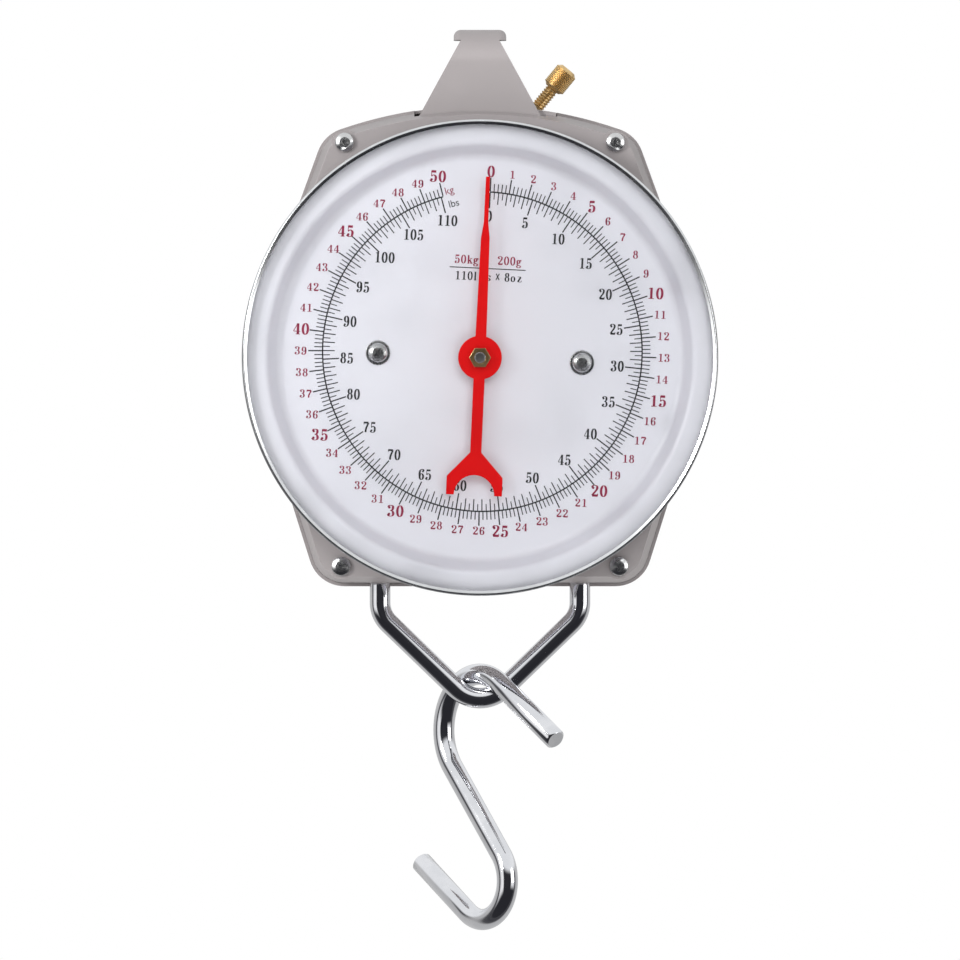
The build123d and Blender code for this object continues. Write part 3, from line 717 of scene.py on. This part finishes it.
for count, (low, high) in enumerate(islands("dial_washers")):
    middle = (low + high) / 2
    outer = (high.x - low.x) / 2 / unit
    thick = (high.y - low.y) / unit
    washerProfile = filleted([
        ((1.8, 0), 0.12), ((outer, 0), 0.25), ((outer, thick), 0.05), ((1.8, thick), 0.05),
    ], closed=True, steps=5)
    washer = lathe(f"dialWasher{count}", washerProfile, (middle.x, low.y, middle.z), dialAxis,
                   finish["screwChrome"], 48)
    settle(washer, "case", "chrome", "dial_washers")
print("screws and washers")


# printed scale: an arc line, five sets of ticks, numerals and two lines of text

scale = {
    "middle": (0.84, 2.18),
    "turn": 2.8,
    "arcRadius": 57.09,
    "arcWidth": 0.5,
    "perKilo": 6.86,
    "kilos": 50,
    "pounds": 110,
    "kiloPerPound": 0.45359,
    "inkRise": 0.05,
    "inkBed": 0.03,
}
inkFront = panFloor - scale["inkRise"]
inkBack = panFloor + scale["inkBed"]
perPound = scale["perKilo"] * scale["kiloPerPound"]


def tickTree():
    start, wires, names = growTree("dialTicks", {
        "Count": "Int",
        "Run": "Int",
        "Start": "Float",
        "Step": "Float",
        "Radius": "Float",
        "Size": "Vector",
        "Middle": "Vector",
        "Finish": "Material",
    })
    points = start.node("GeometryNodePoints", inputs={"Count": wires["Count"]})
    index = start.node("GeometryNodeInputIndex")
    # after every run of ticks one place is left free for a longer tick
    place = (index / wires["Run"]).floor() * (wires["Run"] + 1) + index % wires["Run"] + 1
    turn = wires["Start"] + place * wires["Step"]
    across = turn.maths("SINE", turn) * wires["Radius"]
    upwards = turn.maths("COSINE", turn) * wires["Radius"]
    spot = start.node("ShaderNodeCombineXYZ", inputs={"X": across, "Z": upwards})
    spot = start.node("ShaderNodeVectorMath", {"operation": "ADD"}, {0: spot, 1: wires["Middle"]})
    points = start.node("GeometryNodeSetPosition", inputs={"Geometry": points, "Position": spot})
    tick = start.node("GeometryNodeMeshCube", inputs={"Size": wires["Size"]})
    turn = start.node("ShaderNodeCombineXYZ", inputs={"Y": turn})
    closeTree(start, points, tick, turn, wires["Finish"])
    return start.tree, names


tickGroup, tickNames = tickTree()
noGap = 1000
tickSets = {
    # count, run, first place, step in degrees, length, width, side of the arc line
    "kiloTicks": (51, noGap, -scale["perKilo"], scale["perKilo"], 4.9, 0.46, 1),
    "gramTicks": (200, 4, 0, scale["perKilo"] / 5, 2.75, 0.36, 1),
    "fivePoundTicks": (23, noGap, -5 * perPound, 5 * perPound, 5.6, 0.46, -1),
    "poundTicks": (88, 4, 0, perPound, 4.1, 0.38, -1),
    "halfPoundTicks": (110, noGap, -perPound / 2, perPound, 2.4, 0.34, -1),
}
dialMiddle = at(scale["middle"][0], (inkFront + inkBack) / 2, scale["middle"][1])
inkThick = inkBack - inkFront
for name, (count, run, first, step, length, width, side) in tickSets.items():
    radius = scale["arcRadius"] + side * (length + scale["arcWidth"] * 0.9) / 2
    values = {
        "Count": count,
        "Run": run,
        "Start": radians(first + scale["turn"]),
        "Step": radians(step),
        "Radius": radius * unit,
        "Size": Vector((width, inkThick, length)) * unit,
        "Middle": dialMiddle,
        "Finish": finish["blackInk"],
    }
    settle(grow(name, tickGroup, tickNames, values), "case", "white_enamel")


# lettering: strokes with a thick and a thin weight, drawn one unit high

def ellipse(x, z, halfWide, halfTall, count=28):
    turns = [tau * step / count for step in range(count)]
    return [(x + halfWide * sin(turn), z + halfTall * cos(turn)) for turn in turns]


# a stroke is (kind, points): pen follows a curve and swells where it runs upright, loop is the same
# but closed, bar is straight and thick, hair is straight and thin, dot is a round end
glyphs = {
    "0": [("loop", ellipse(0.25, 0.5, 0.175, 0.475))],
    "1": [("bar", [(0.27, 0.03), (0.27, 0.98)]), ("hair", [(0.08, 0.03), (0.46, 0.03)]),
          ("hair", [(0.24, 0.95), (0.09, 0.86)])],
    "2": [("dot", [(0.12, 0.75)]),
          ("pen", [(0.06, 0.76), (0.1, 0.92), (0.23, 0.975), (0.37, 0.9), (0.4, 0.74), (0.34, 0.55),
                   (0.2, 0.32), (0.06, 0.08)]),
          ("bar", [(0.07, 0.085), (0.44, 0.085)]), ("hair", [(0.45, 0.02), (0.455, 0.27)])],
    "3": [("dot", [(0.11, 0.79)]), ("dot", [(0.11, 0.22)]),
          ("pen", [(0.05, 0.8), (0.1, 0.93), (0.22, 0.975), (0.35, 0.9), (0.36, 0.7), (0.3, 0.57),
                   (0.18, 0.525)]),
          ("pen", [(0.18, 0.525), (0.33, 0.47), (0.4, 0.28), (0.36, 0.1), (0.22, 0.025), (0.09, 0.08),
                   (0.045, 0.21)])],
    "4": [("bar", [(0.34, 0.03), (0.34, 0.96)]), ("hair", [(0.32, 0.95), (0.03, 0.29)]),
          ("hair", [(0.03, 0.27), (0.5, 0.27)]), ("hair", [(0.2, 0.03), (0.48, 0.03)])],
    "5": [("bar", [(0.1, 0.91), (0.42, 0.91)]), ("hair", [(0.1, 0.97), (0.1, 0.48)]), ("dot", [(0.12, 0.21)]),
          ("pen", [(0.1, 0.5), (0.18, 0.58), (0.28, 0.6), (0.39, 0.48), (0.405, 0.28), (0.35, 0.09),
                   (0.22, 0.025), (0.1, 0.07), (0.05, 0.19)])],
    "6": [("dot", [(0.38, 0.79)]), ("loop", ellipse(0.255, 0.3, 0.15, 0.275)),
          ("pen", [(0.44, 0.82), (0.38, 0.95), (0.28, 0.975), (0.14, 0.86), (0.09, 0.6), (0.105, 0.3)])],
    "7": [("bar", [(0.06, 0.91), (0.44, 0.91)]), ("hair", [(0.05, 0.98), (0.055, 0.73)]),
          ("pen", [(0.45, 0.9), (0.36, 0.68), (0.27, 0.42), (0.23, 0.2), (0.22, 0.02)])],
    "8": [("loop", ellipse(0.25, 0.755, 0.135, 0.22)), ("loop", ellipse(0.25, 0.28, 0.165, 0.255))],
    "9": [("dot", [(0.12, 0.21)]), ("loop", ellipse(0.245, 0.7, 0.15, 0.275)),
          ("pen", [(0.06, 0.18), (0.12, 0.05), (0.22, 0.025), (0.36, 0.14), (0.41, 0.4), (0.395, 0.7)])],
    "k": [("bar", [(0.13, 0.03), (0.13, 0.98)]), ("hair", [(0.03, 0.03), (0.24, 0.03)]),
          ("hair", [(0.03, 0.96), (0.13, 0.96)]), ("hair", [(0.15, 0.3), (0.4, 0.62)]),
          ("bar", [(0.26, 0.4), (0.42, 0.04)]), ("hair", [(0.3, 0.63), (0.48, 0.63)]),
          ("hair", [(0.32, 0.03), (0.52, 0.03)])],
    "g": [("loop", ellipse(0.2, 0.45, 0.12, 0.19)), ("loop", ellipse(0.22, -0.1, 0.17, 0.13)),
          ("pen", [(0.13, 0.28), (0.08, 0.18), (0.16, 0.08), (0.3, 0.05)]), ("dot", [(0.41, 0.6)]),
          ("hair", [(0.3, 0.55), (0.4, 0.6)])],
    "l": [("bar", [(0.14, 0.03), (0.14, 0.98)]), ("hair", [(0.03, 0.03), (0.25, 0.03)]),
          ("hair", [(0.04, 0.96), (0.14, 0.96)])],
    "b": [("bar", [(0.12, 0.03), (0.12, 0.98)]), ("hair", [(0.02, 0.96), (0.12, 0.96)]),
          ("loop", ellipse(0.28, 0.32, 0.15, 0.3))],
    "s": [("pen", [(0.36, 0.46), (0.33, 0.6), (0.2, 0.63), (0.08, 0.54), (0.12, 0.38), (0.3, 0.27),
                   (0.36, 0.13), (0.22, 0.02), (0.08, 0.06), (0.05, 0.2)])],
    "o": [("loop", ellipse(0.22, 0.32, 0.155, 0.3))],
    "z": [("hair", [(0.06, 0.62), (0.4, 0.62)]), ("bar", [(0.36, 0.58), (0.1, 0.06)]),
          ("hair", [(0.06, 0.03), (0.42, 0.03)]), ("hair", [(0.42, 0.03), (0.44, 0.2)])],
    "x": [("cross", [(0.03, 0.06), (0.47, 0.94)]), ("cross", [(0.03, 0.94), (0.47, 0.06)])],
}


class Lettering:
    def __init__(self):
        self.points = []
        self.faces = []

    def strip(self, line, halves, closed):
        # flat ribbon along a line of (x, z), with its own half width at every point
        count = len(line)
        first = len(self.points)
        for index, (x, z) in enumerate(line):
            before = line[(index - 1) % count if closed else max(index - 1, 0)]
            after = line[(index + 1) % count if closed else min(index + 1, count - 1)]
            along = Vector((after[0] - before[0], after[1] - before[1])).normalized()
            aside = Vector((-along.y, along.x)) * halves[index]
            for sign in (1, -1):
                for depth in (inkFront, inkBack):
                    self.points.append(at(x + sign * aside.x, depth, z + sign * aside.y))
        for index in range(count if closed else count - 1):
            here = first + index * 4
            there = first + (index + 1) % count * 4
            for low, high in ((0, 1), (1, 3), (3, 2), (2, 0)):
                self.faces.append((here + low, here + high, there + high, there + low))
        if not closed:
            last = first + (count - 1) * 4
            self.faces.append((first, first + 1, first + 3, first + 2))
            self.faces.append((last, last + 1, last + 3, last + 2))

    def disc(self, x, z, radius, count=14):
        first = len(self.points)
        for spot in ellipse(x, z, radius, radius, count):
            for depth in (inkFront, inkBack):
                self.points.append(at(spot[0], depth, spot[1]))
        for index in range(count):
            here = first + index * 2
            there = first + (index + 1) % count * 2
            self.faces.append((here, here + 1, there + 1, there))
        self.faces.append(tuple(first + index * 2 for index in range(count)))
        self.faces.append(tuple(first + index * 2 + 1 for index in range(count)))

    def write(self, text, middle, height, wide, thick, thin, turn=0.0, spread=0.6):
        # middle is the middle of the text's capital height; thick and thin are half widths
        total = len(text) * spread * wide * height
        spin = radians(turn)

        def place(x, z, offset):
            x = (x - 0.25 + spread / 2) * wide * height + offset - total / 2
            z = (z - 0.5) * height
            return (middle[0] + x * cos(spin) + z * sin(spin),
                    middle[1] - x * sin(spin) + z * cos(spin))

        for count, letter in enumerate(text):
            offset = count * spread * wide * height
            for kind, spots in glyphs.get(letter, ()):
                if kind == "dot":
                    self.disc(*place(*spots[0], offset), thick * height * 1.05)
                    continue
                closed = kind == "loop"
                line = curveThrough(spots) if kind == "pen" else spots
                line = [place(*spot, offset) for spot in line]
                halves = []
                for index in range(len(line)):
                    before = line[index - 1 if closed or index else 0]
                    after = line[(index + 1) % len(line) if closed else min(index + 1, len(line) - 1)]
                    span = Vector((after[0] - before[0], after[1] - before[1]))
                    upright = abs(span.y) / max(span.length, 1e-9)
                    swell = thin + (thick - thin) * upright ** 1.6
                    width = {"bar": thick, "hair": thin * 1.15, "cross": thin * 2.6}.get(kind, swell)
                    halves.append(width * height)
                self.strip(line, halves, closed)

    def finish(self, name, look):
        piece = meshPiece(name, self.points, self.faces, look, 30)
        return settle(piece, "case", "white_enamel")


def curveThrough(spots, steps=5):
    # smooth line through the given points
    line = []
    for index in range(len(spots) - 1):
        before = Vector(spots[max(index - 1, 0)])
        here, there = Vector(spots[index]), Vector(spots[index + 1])
        after = Vector(spots[min(index + 2, len(spots) - 1)])
        for step in range(steps):
            t = step / steps
            line.append(tuple(
                (here * 2 + (there - before) * t + (before * 2 - here * 5 + there * 4 - after) * t * t
                 + (here * 3 - before - there * 3 + after) * t ** 3) / 2
            ))
    line.append(tuple(spots[-1]))
    return line


def onDial(radius, degrees):
    turn = radians(degrees + scale["turn"])
    return (scale["middle"][0] + radius * sin(turn), scale["middle"][1] + radius * cos(turn))


numerals = {
    # height, width factor, thick and thin half widths, radius
    "kiloFive": (4.1, 1.26, 0.105, 0.028, 64.4),
    "kilo": (2.85, 1.36, 0.095, 0.03, 64.0),
    "pound": (3.85, 1.08, 0.09, 0.026, 48.5),
}
kiloType = Lettering()
for kilo in range(scale["kilos"] + 1):
    degrees = kilo * scale["perKilo"]
    height, wide, thick, thin, radius = numerals["kilo" if kilo % 5 else "kiloFive"]
    radius += 0.9 * abs(sin(radians(degrees + scale["turn"])))
    kiloType.write(str(kilo), onDial(radius, degrees), height, wide, thick, thin, scale["turn"])
kiloType.finish("kiloNumerals", finish["crimsonInk"])

poundType = Lettering()
height, wide, thick, thin, radius = numerals["pound"]
for pound in range(0, scale["pounds"] + 1, 5):
    spot = onDial(radius, pound * perPound)
    poundType.write(str(pound), spot, height, wide, thick, thin, scale["turn"])
poundType.finish("poundNumerals", finish["blackInk"])

capacity = {
    # text, middle of the text, ink
    "kiloText": ("50kg", (-4.75, 35.2), "crimsonInk"),
    "gramText": ("200g", (10.6, 34.55), "crimsonInk"),
    "poundText": ("110lbs", (-2.4, 29.25), "blackInk"),
    "ounceText": ("8oz", (11.9, 28.6), "blackInk"),
}
capacityType = {"height": 3.1, "crossHeight": 2.6, "wide": 1.2, "thick": 0.088, "thin": 0.026, "rule": 0.17}
thick, thin = capacityType["thick"], capacityType["thin"]
texts = {"crimsonInk": Lettering(), "blackInk": Lettering()}
for text, middle, look in capacity.values():
    texts[look].write(text, middle, capacityType["height"], capacityType["wide"], thick, thin, scale["turn"])
for look, middle in (("crimsonInk", (2.1, 34.9)), ("blackInk", (6.3, 28.9))):
    texts[look].write("x", middle, capacityType["crossHeight"], 1.0, thick, thin, scale["turn"])
texts["blackInk"].strip([(-10.83, 32.53), (16.33, 31.2)], [capacityType["rule"]] * 2, False)
arcLine = []
arcHalf = []
arcSteps = 220
for step in range(arcSteps + 1):
    arcLine.append(onDial(scale["arcRadius"], scale["kilos"] * scale["perKilo"] * step / arcSteps))
    arcHalf.append(scale["arcWidth"] / 2)
texts["blackInk"].strip(arcLine, arcHalf, False)
texts["crimsonInk"].finish("capacityKilos", finish["crimsonInk"])
texts["blackInk"].finish("capacityPounds", finish["blackInk"])

unitMarks = {
    # text, middle, size, ink; these two are plain sans letters along the last tick
    "kiloMark": ("kg", (-11.0, 59.7), 3.7, "crimsonInk"),
    "poundMark": ("lbs", (-9.35, 55.1), 3.6, "blackInk"),
}
for name, (text, middle, size, look) in unitMarks.items():
    letters = bpy.data.curves.new(name, "FONT")
    letters.body = text
    letters.size = size * unit
    letters.align_x = "CENTER"
    letters.align_y = "CENTER"
    letters.extrude = inkThick / 2 * unit
    mesh = finalMesh(addObject(name + "Letters", letters))
    upright = Matrix.Rotation(radians(90), 4, "X")
    tilt = Matrix.Rotation(radians(scale["perKilo"] * scale["kilos"] + scale["turn"]), 4, "Y")
    spot = at(middle[0], (inkFront + inkBack) / 2, middle[1])
    mesh.transform(Matrix.Translation(spot) @ tilt @ upright)
    dress(mesh, finish[look])
    settle(addObject(name, mesh), "case", "white_enamel")
print("printed scale")


# pointer, its hub and its nut

pointerPieces = {
    "pointerBlade": ("pointer", "red_paint", 0.16),
    "pointerHub": ("pointer_hub", "brass", 0.15),
    "pointerNut": ("pointer_nut", "brass", 0.3),
}
for name, (node, look, edge) in pointerPieces.items():
    settle(refined(node, name, finish[look], edge), "pointer", look, node)
print("pointer")


# load loop and S-hook: bright bent bars with chamfered ends

loop = {
    "halfWidth": 35.8,
    "cornerHeight": -92.0,
    "lowHeight": -126.5,
    "cornerBend": 10.2,
    "lowBend": 12.0,
    "chamfer": 0.6,
}
loopLow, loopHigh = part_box("load_loop")
loopRadius = (loopHigh.y - loopLow.y) / 2 / unit
loopTop = (loopHigh.z - pivot.z) / unit
loopLine = filleted([
    ((-loop["halfWidth"], 0, loopTop), 0),
    ((-loop["halfWidth"], 0, loop["cornerHeight"]), loop["cornerBend"]),
    ((0, 0, loop["lowHeight"]), loop["lowBend"]),
    ((loop["halfWidth"], 0, loop["cornerHeight"]), loop["cornerBend"]),
    ((loop["halfWidth"], 0, loopTop), 0),
], steps=18)
bar = sweepTube("loadLoop", loopLine, loopRadius, finish["chrome"], 40, loop["chamfer"])
settle(bar, "load", "chrome", "load_loop")

hook = {
    "swivel": 40.0,
    "radius": 3.8,
    "upperMiddle": (0.0, -133.448),
    "upperBend": 20.2,
    "upperTurn": (57.4, 221.1),
    "lowerMiddle": (1.044, -186.95),
    "lowerBend": 14.2,
    "lowerTurn": (41.1, -124.3),
    "arm": 36.9,
    "freeArm": 31.6,
    "chamfer": 0.7,
}


def arc(middle, radius, turns, steps=40):
    first, last = (radians(turn) for turn in turns)
    turns = [first + (last - first) * step / steps for step in range(steps + 1)]
    return [(middle[0] + radius * cos(turn), middle[1] + radius * sin(turn)) for turn in turns]


upper = arc(hook["upperMiddle"], hook["upperBend"], hook["upperTurn"])
lower = arc(hook["lowerMiddle"], hook["lowerBend"], hook["lowerTurn"])
startTurn = radians(hook["upperTurn"][0])
endTurn = radians(hook["lowerTurn"][1])
(x, z), arm = upper[0], hook["arm"]
armEnd = (x + arm * sin(startTurn), z - arm * cos(startTurn))
(x, z), arm = lower[-1], hook["freeArm"]
freeEnd = (x + arm * sin(endTurn), z - arm * cos(endTurn))
swivel = radians(hook["swivel"])
hookLine = [(across * sin(swivel), -across * cos(swivel), height)
            for across, height in [armEnd, *upper, *lower, freeEnd]]
bar = sweepTube("sHook", hookLine, hook["radius"], finish["chrome"], 40, hook["chamfer"])
settle(bar, "hook", "chrome", "s_hook")
print("load loop and S-hook")


# zero screw: cut thread, knurled knob

zero = {
    "point": (21.6, 91.2),
    "tilt": 39.6,
    "tip": -23.0,
    "threadEnd": 6.8,
    "radius": 2.5,
    "threadDepth": 0.62,
    "pitch": 1.05,
    "knobStart": 6.6,
    "knobLength": 9.2,
    "knobRadius": 3.8,
    "knobChamfer": 1.0,
    "knurlsAround": 26,
    "knurlRows": 12,
    "knurlSize": 0.5,
    "knurlHeight": 0.42,
}
zeroTilt = radians(zero["tilt"])
zeroAxis = Vector((sin(zeroTilt), 0, cos(zeroTilt)))


def onZeroAxis(distance):
    return at(zero["point"][0], 0, zero["point"][1]) + zeroAxis * distance * unit


thread = threadedBar("zeroScrew", zero["radius"], zero["threadDepth"], zero["pitch"],
                     zero["threadEnd"] - zero["tip"], finish["brass"], 28, 6, 0.8)
alongAxis = Vector((0, 1, 0)).rotation_difference(zeroAxis).to_matrix().to_4x4()
thread.data.transform(Matrix.Translation(onZeroAxis(zero["tip"])) @ alongAxis)
settle(thread, "zero_screw", "brass", "zero_screw")

reach, long, broken = zero["knobRadius"], zero["knobLength"], zero["knobChamfer"]
knobProfile = filleted([
    ((0, 0), 0),
    ((reach - broken, 0), 0.25),
    ((reach, broken), 0.2),
    ((reach, long - broken), 0.2),
    ((reach - broken, long), 0.25),
    ((2.1, long), 0.1),
    ((1.7, long - 0.35), 0.1),
    ((0, long - 0.35), 0),
], closed=True, steps=4)
knob = lathe("zeroKnob", knobProfile, onZeroAxis(zero["knobStart"]), zeroAxis, finish["brass"], 64)
settle(knob, "zero_screw", "brass", "zero_knob")


def knurlTree():
    start, wires, names = growTree("knurlWrap", {
        "Around": "Int",
        "Rows": "Int",
        "Radius": "Float",
        "Length": "Float",
        "Tooth": "Float",
        "Height": "Float",
        "Finish": "Material",
    })
    points = start.node("GeometryNodePoints", inputs={"Count": wires["Around"] * wires["Rows"]})
    index = start.node("GeometryNodeInputIndex")
    row = (index / wires["Around"]).floor()
    turn = (index % wires["Around"] + row % 2 * 0.5) * tau / wires["Around"]
    along = (row + 0.5) * wires["Length"] / wires["Rows"]
    inputs = {
        "X": turn.maths("COSINE", turn) * wires["Radius"],
        "Y": turn.maths("SINE", turn) * wires["Radius"],
        "Z": along,
    }
    spot = start.node("ShaderNodeCombineXYZ", inputs=inputs)
    points = start.node("GeometryNodeSetPosition", inputs={"Geometry": points, "Position": spot})
    tooth = start.node("GeometryNodeMeshCone", inputs={
        "Vertices": 4,
        "Radius Top": wires["Tooth"] * 0.12,
        "Radius Bottom": wires["Tooth"],
        "Depth": wires["Height"],
    })
    turn = start.node("ShaderNodeCombineXYZ", inputs={"Y": pi / 2, "Z": turn})
    closeTree(start, points, tooth, turn, wires["Finish"])
    return start.tree, names


knurlGroup, knurlNames = knurlTree()
knurl = grow("zeroKnurl", knurlGroup, knurlNames, {
    "Around": zero["knurlsAround"],
    "Rows": zero["knurlRows"],
    "Radius": (reach - 0.04) * unit,
    "Length": (long - 2 * broken) * unit,
    "Tooth": zero["knurlSize"] * unit,
    "Height": zero["knurlHeight"] * unit,
    "Finish": finish["brass"],
})
upAxis = Vector((0, 0, 1)).rotation_difference(zeroAxis).to_matrix().to_4x4()
knurl.data.transform(Matrix.Translation(onZeroAxis(zero["knobStart"] + broken)) @ upAxis)
settle(knurl, "zero_screw", "brass")
print("zero screw and knob")


# springs: wound wire with an eye at both ends, stretched between the case and the yoke

mainSpring = {
    "top": 52.0, "bottom": -46.0, "coil": 6.6, "wire": 1.4, "pitch": 2.9, "coils": 26,
    "topEye": 3.95, "bottomEye": 3.95, "topTurn": 0,
}
springs = {
    "leftMainSpring": {**mainSpring, "node": "left_main_spring", "x": -22.0},
    "rightMainSpring": {**mainSpring, "node": "right_main_spring", "x": 22.0},
    "tareSpring": {
        "top": 58.02, "bottom": -46.0, "coil": 2.2, "wire": 0.35, "pitch": 0.77, "coils": 30,
        "topEye": 2.6, "bottomEye": 1.6, "topTurn": 90, "node": "tare_spring", "x": -9.0,
    },
}


def eyeLine(x, height, radius, side, turn, steps=26):
    # open ring that leaves the coil's axis and comes almost back to it
    line = []
    for step in range(steps + 1):
        angle = radians(-90 + 330 * step / steps)
        across = radius * cos(angle)
        spin = radians(turn)
        line.append((x + across * cos(spin), across * sin(spin),
                     height + side * radius * sin(angle)))
    return line


for name, spring in springs.items():
    x, top, bottom, wide = spring["x"], spring["top"], spring["bottom"], spring["coil"]
    middle = (top + bottom) / 2
    half = spring["pitch"] * spring["coils"] / 2
    topEye = eyeLine(x, top, spring["topEye"], 1, spring["topTurn"])
    bottomEye = eyeLine(x, bottom, spring["bottomEye"], -1, 0)
    steps = spring["coils"] * 22
    coil = []
    for step in range(steps + 1):
        turn = tau * spring["coils"] * step / steps
        height = middle + half - 2 * half * step / steps
        coil.append((x + wide * cos(turn), wide * sin(turn), height))
    shoulder = wide * 0.55
    lead = [(x, 0, middle + half + shoulder * 1.3), (x + wide * 0.5, 0, middle + half + shoulder * 0.6)]
    tail = [(x + wide * 0.5, 0, middle - half - shoulder * 0.6), (x, 0, middle - half - shoulder * 1.3)]
    line = [*reversed(topEye), *lead, *coil, *tail, *bottomEye]
    wire = sweepTube(name, line, spring["wire"], finish["spring_steel"], 10, spring["wire"] * 0.2, 60)
    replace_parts(wire, spring["node"])
    tuple(at(x, 0, top - spring["topEye"]))
    tuple(at(x, 0, bottom + spring["bottomEye"]))
    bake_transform(wire)
print("springs")


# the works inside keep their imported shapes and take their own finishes

slotOf = {}
for part in frame["record"]["subparts"]:
    slotOf[part["node"]] = part["material_slot"]
replaced = {node for piece in bpy.data.objects for node in piece.get("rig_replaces", [])}
for node, piece in frame["nodes"].items():
    if node in replaced:
        continue
    dress(piece.data, finish[slotOf[node]])
print("inner nodes:", len(frame["nodes"]) - len(replaced))


# floor, light and camera

view = {
    "distance": 6.0,
    "width": 0.343,
    "floorDrop": 0.3,
    "floorSize": 6.0,
    "sensor": 36.0,
}
low, high = cadBox
middle = (low + high) / 2
aim = Vector((0, panFloor * unit, middle.z))


def floorLook(start):
    mottle = grain(start, 400, 3)
    inputs = {
        "Base Color": mottle.tint((0.86, 0.86, 0.86), (0.9, 0.9, 0.9)),
        "Roughness": mottle * 0.1 + 0.7,
        "Emission Color": (1, 1, 1, 1),
        "Emission Strength": 0.45,
    }
    return principled(start, inputs)


half = view["floorSize"] / 2
floorHeight = low.z - view["floorDrop"]
corners = [(x * half, z * half, floorHeight) for x, z in ((-1, -1), (1, -1), (1, 1), (-1, 1))]
floorMesh = bpy.data.meshes.new("paleFloor")
floorMesh.from_pydata(corners, [], [(0, 1, 2, 3)])
floorMesh.materials.append(material("paleFloor", floorLook))
floor = addObject("paleFloor", floorMesh)
floor.visible_glossy = False
floor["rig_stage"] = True

# studio surround: white to the eye, with dark cards in front that bright metal mirrors
world = bpy.data.worlds.new("studio")
bpy.context.scene.world = world
world.use_nodes = True
world.node_tree.nodes.clear()
start = Wire(world.node_tree)
ray = start.node("ShaderNodeTexCoord", output="Generated")
split = start.node("ShaderNodeSeparateXYZ", inputs={0: ray})
depth = Wire(start.tree, split.socket.node.outputs["Y"])
height = Wire(start.tree, split.socket.node.outputs["Z"])
front = 0 - depth
cards = start.node("ShaderNodeValToRGB", {"stops": [
    (0.0, (0.6, 0.6, 0.6, 1)),
    (0.40, (0.5, 0.5, 0.5, 1)),
    (0.47, (0.08, 0.08, 0.085, 1)),
    (0.56, (0.1, 0.1, 0.11, 1)),
    (0.62, (0.75, 0.75, 0.76, 1)),
    (0.78, (1.0, 1.0, 1.0, 1)),
    (0.86, (0.9, 0.9, 0.9, 1)),
    (0.9, (0.02, 0.02, 0.025, 1)),
    (1.0, (0.03, 0.03, 0.035, 1)),
]}, {0: front * 0.5 + 0.5})
overhead = height.between(0.18, 0.42)
below = (0 - height).between(0.12, 0.35) * front.between(-0.1, 0.25)
shades = ((overhead, (0.88, 0.89, 0.9, 1)), (below, (0.025, 0.025, 0.03, 1)))
mixed = cards
for share, shadeColour in shades:
    mixed = start.node("ShaderNodeMix", {"data_type": "RGBA"}, {0: share, 6: mixed, 7: shadeColour}, 2)
seen = start.node("ShaderNodeLightPath", output="Is Camera Ray")
mixed = start.node("ShaderNodeMix", {"data_type": "RGBA"}, {0: seen, 6: mixed, 7: (1, 1, 1, 1)}, 2)
glow = start.node("ShaderNodeBackground", inputs={"Color": mixed, "Strength": 1.0})
start.node("ShaderNodeOutputWorld", inputs={"Surface": glow})

lamps = {
    # place, size, power, seen in reflections
    "keyLamp": ((-1.15, -1.0, 0.45), 0.45, 22.0, True),
    "frontLamp": ((0.25, -1.7, 0.9), 1.5, 22.0, False),
    "rightLamp": ((1.3, -0.7, 0.1), 0.7, 5.0, True),
}
for name, (place, size, power, mirrored) in lamps.items():
    light = bpy.data.lights.new(name, "AREA")
    light.size = size
    light.energy = power
    lamp = bpy.data.objects.new(name, light)
    bpy.context.scene.collection.objects.link(lamp)
    lamp.location = aim + Vector(place)
    lamp.rotation_euler = (aim - lamp.location).to_track_quat("-Z", "Y").to_euler()
    lamp.visible_camera = False
    lamp.visible_glossy = mirrored

lens = bpy.data.cameras.new("frontCamera")
lens.sensor_width = view["sensor"]
lens.lens = view["sensor"] * view["distance"] / view["width"]
camera = bpy.data.objects.new("frontCamera", lens)
bpy.context.scene.collection.objects.link(camera)
camera.location = aim - Vector((0, view["distance"], 0))
camera.rotation_euler = (radians(90), 0, 0)
bpy.context.scene.camera = camera
bpy.context.scene.view_settings.view_transform = "Standard"
print("stage, lamps and camera")

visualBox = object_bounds()
boxes = {"cad": [list(corner) for corner in cadBox], "visual": [list(corner) for corner in visualBox]}
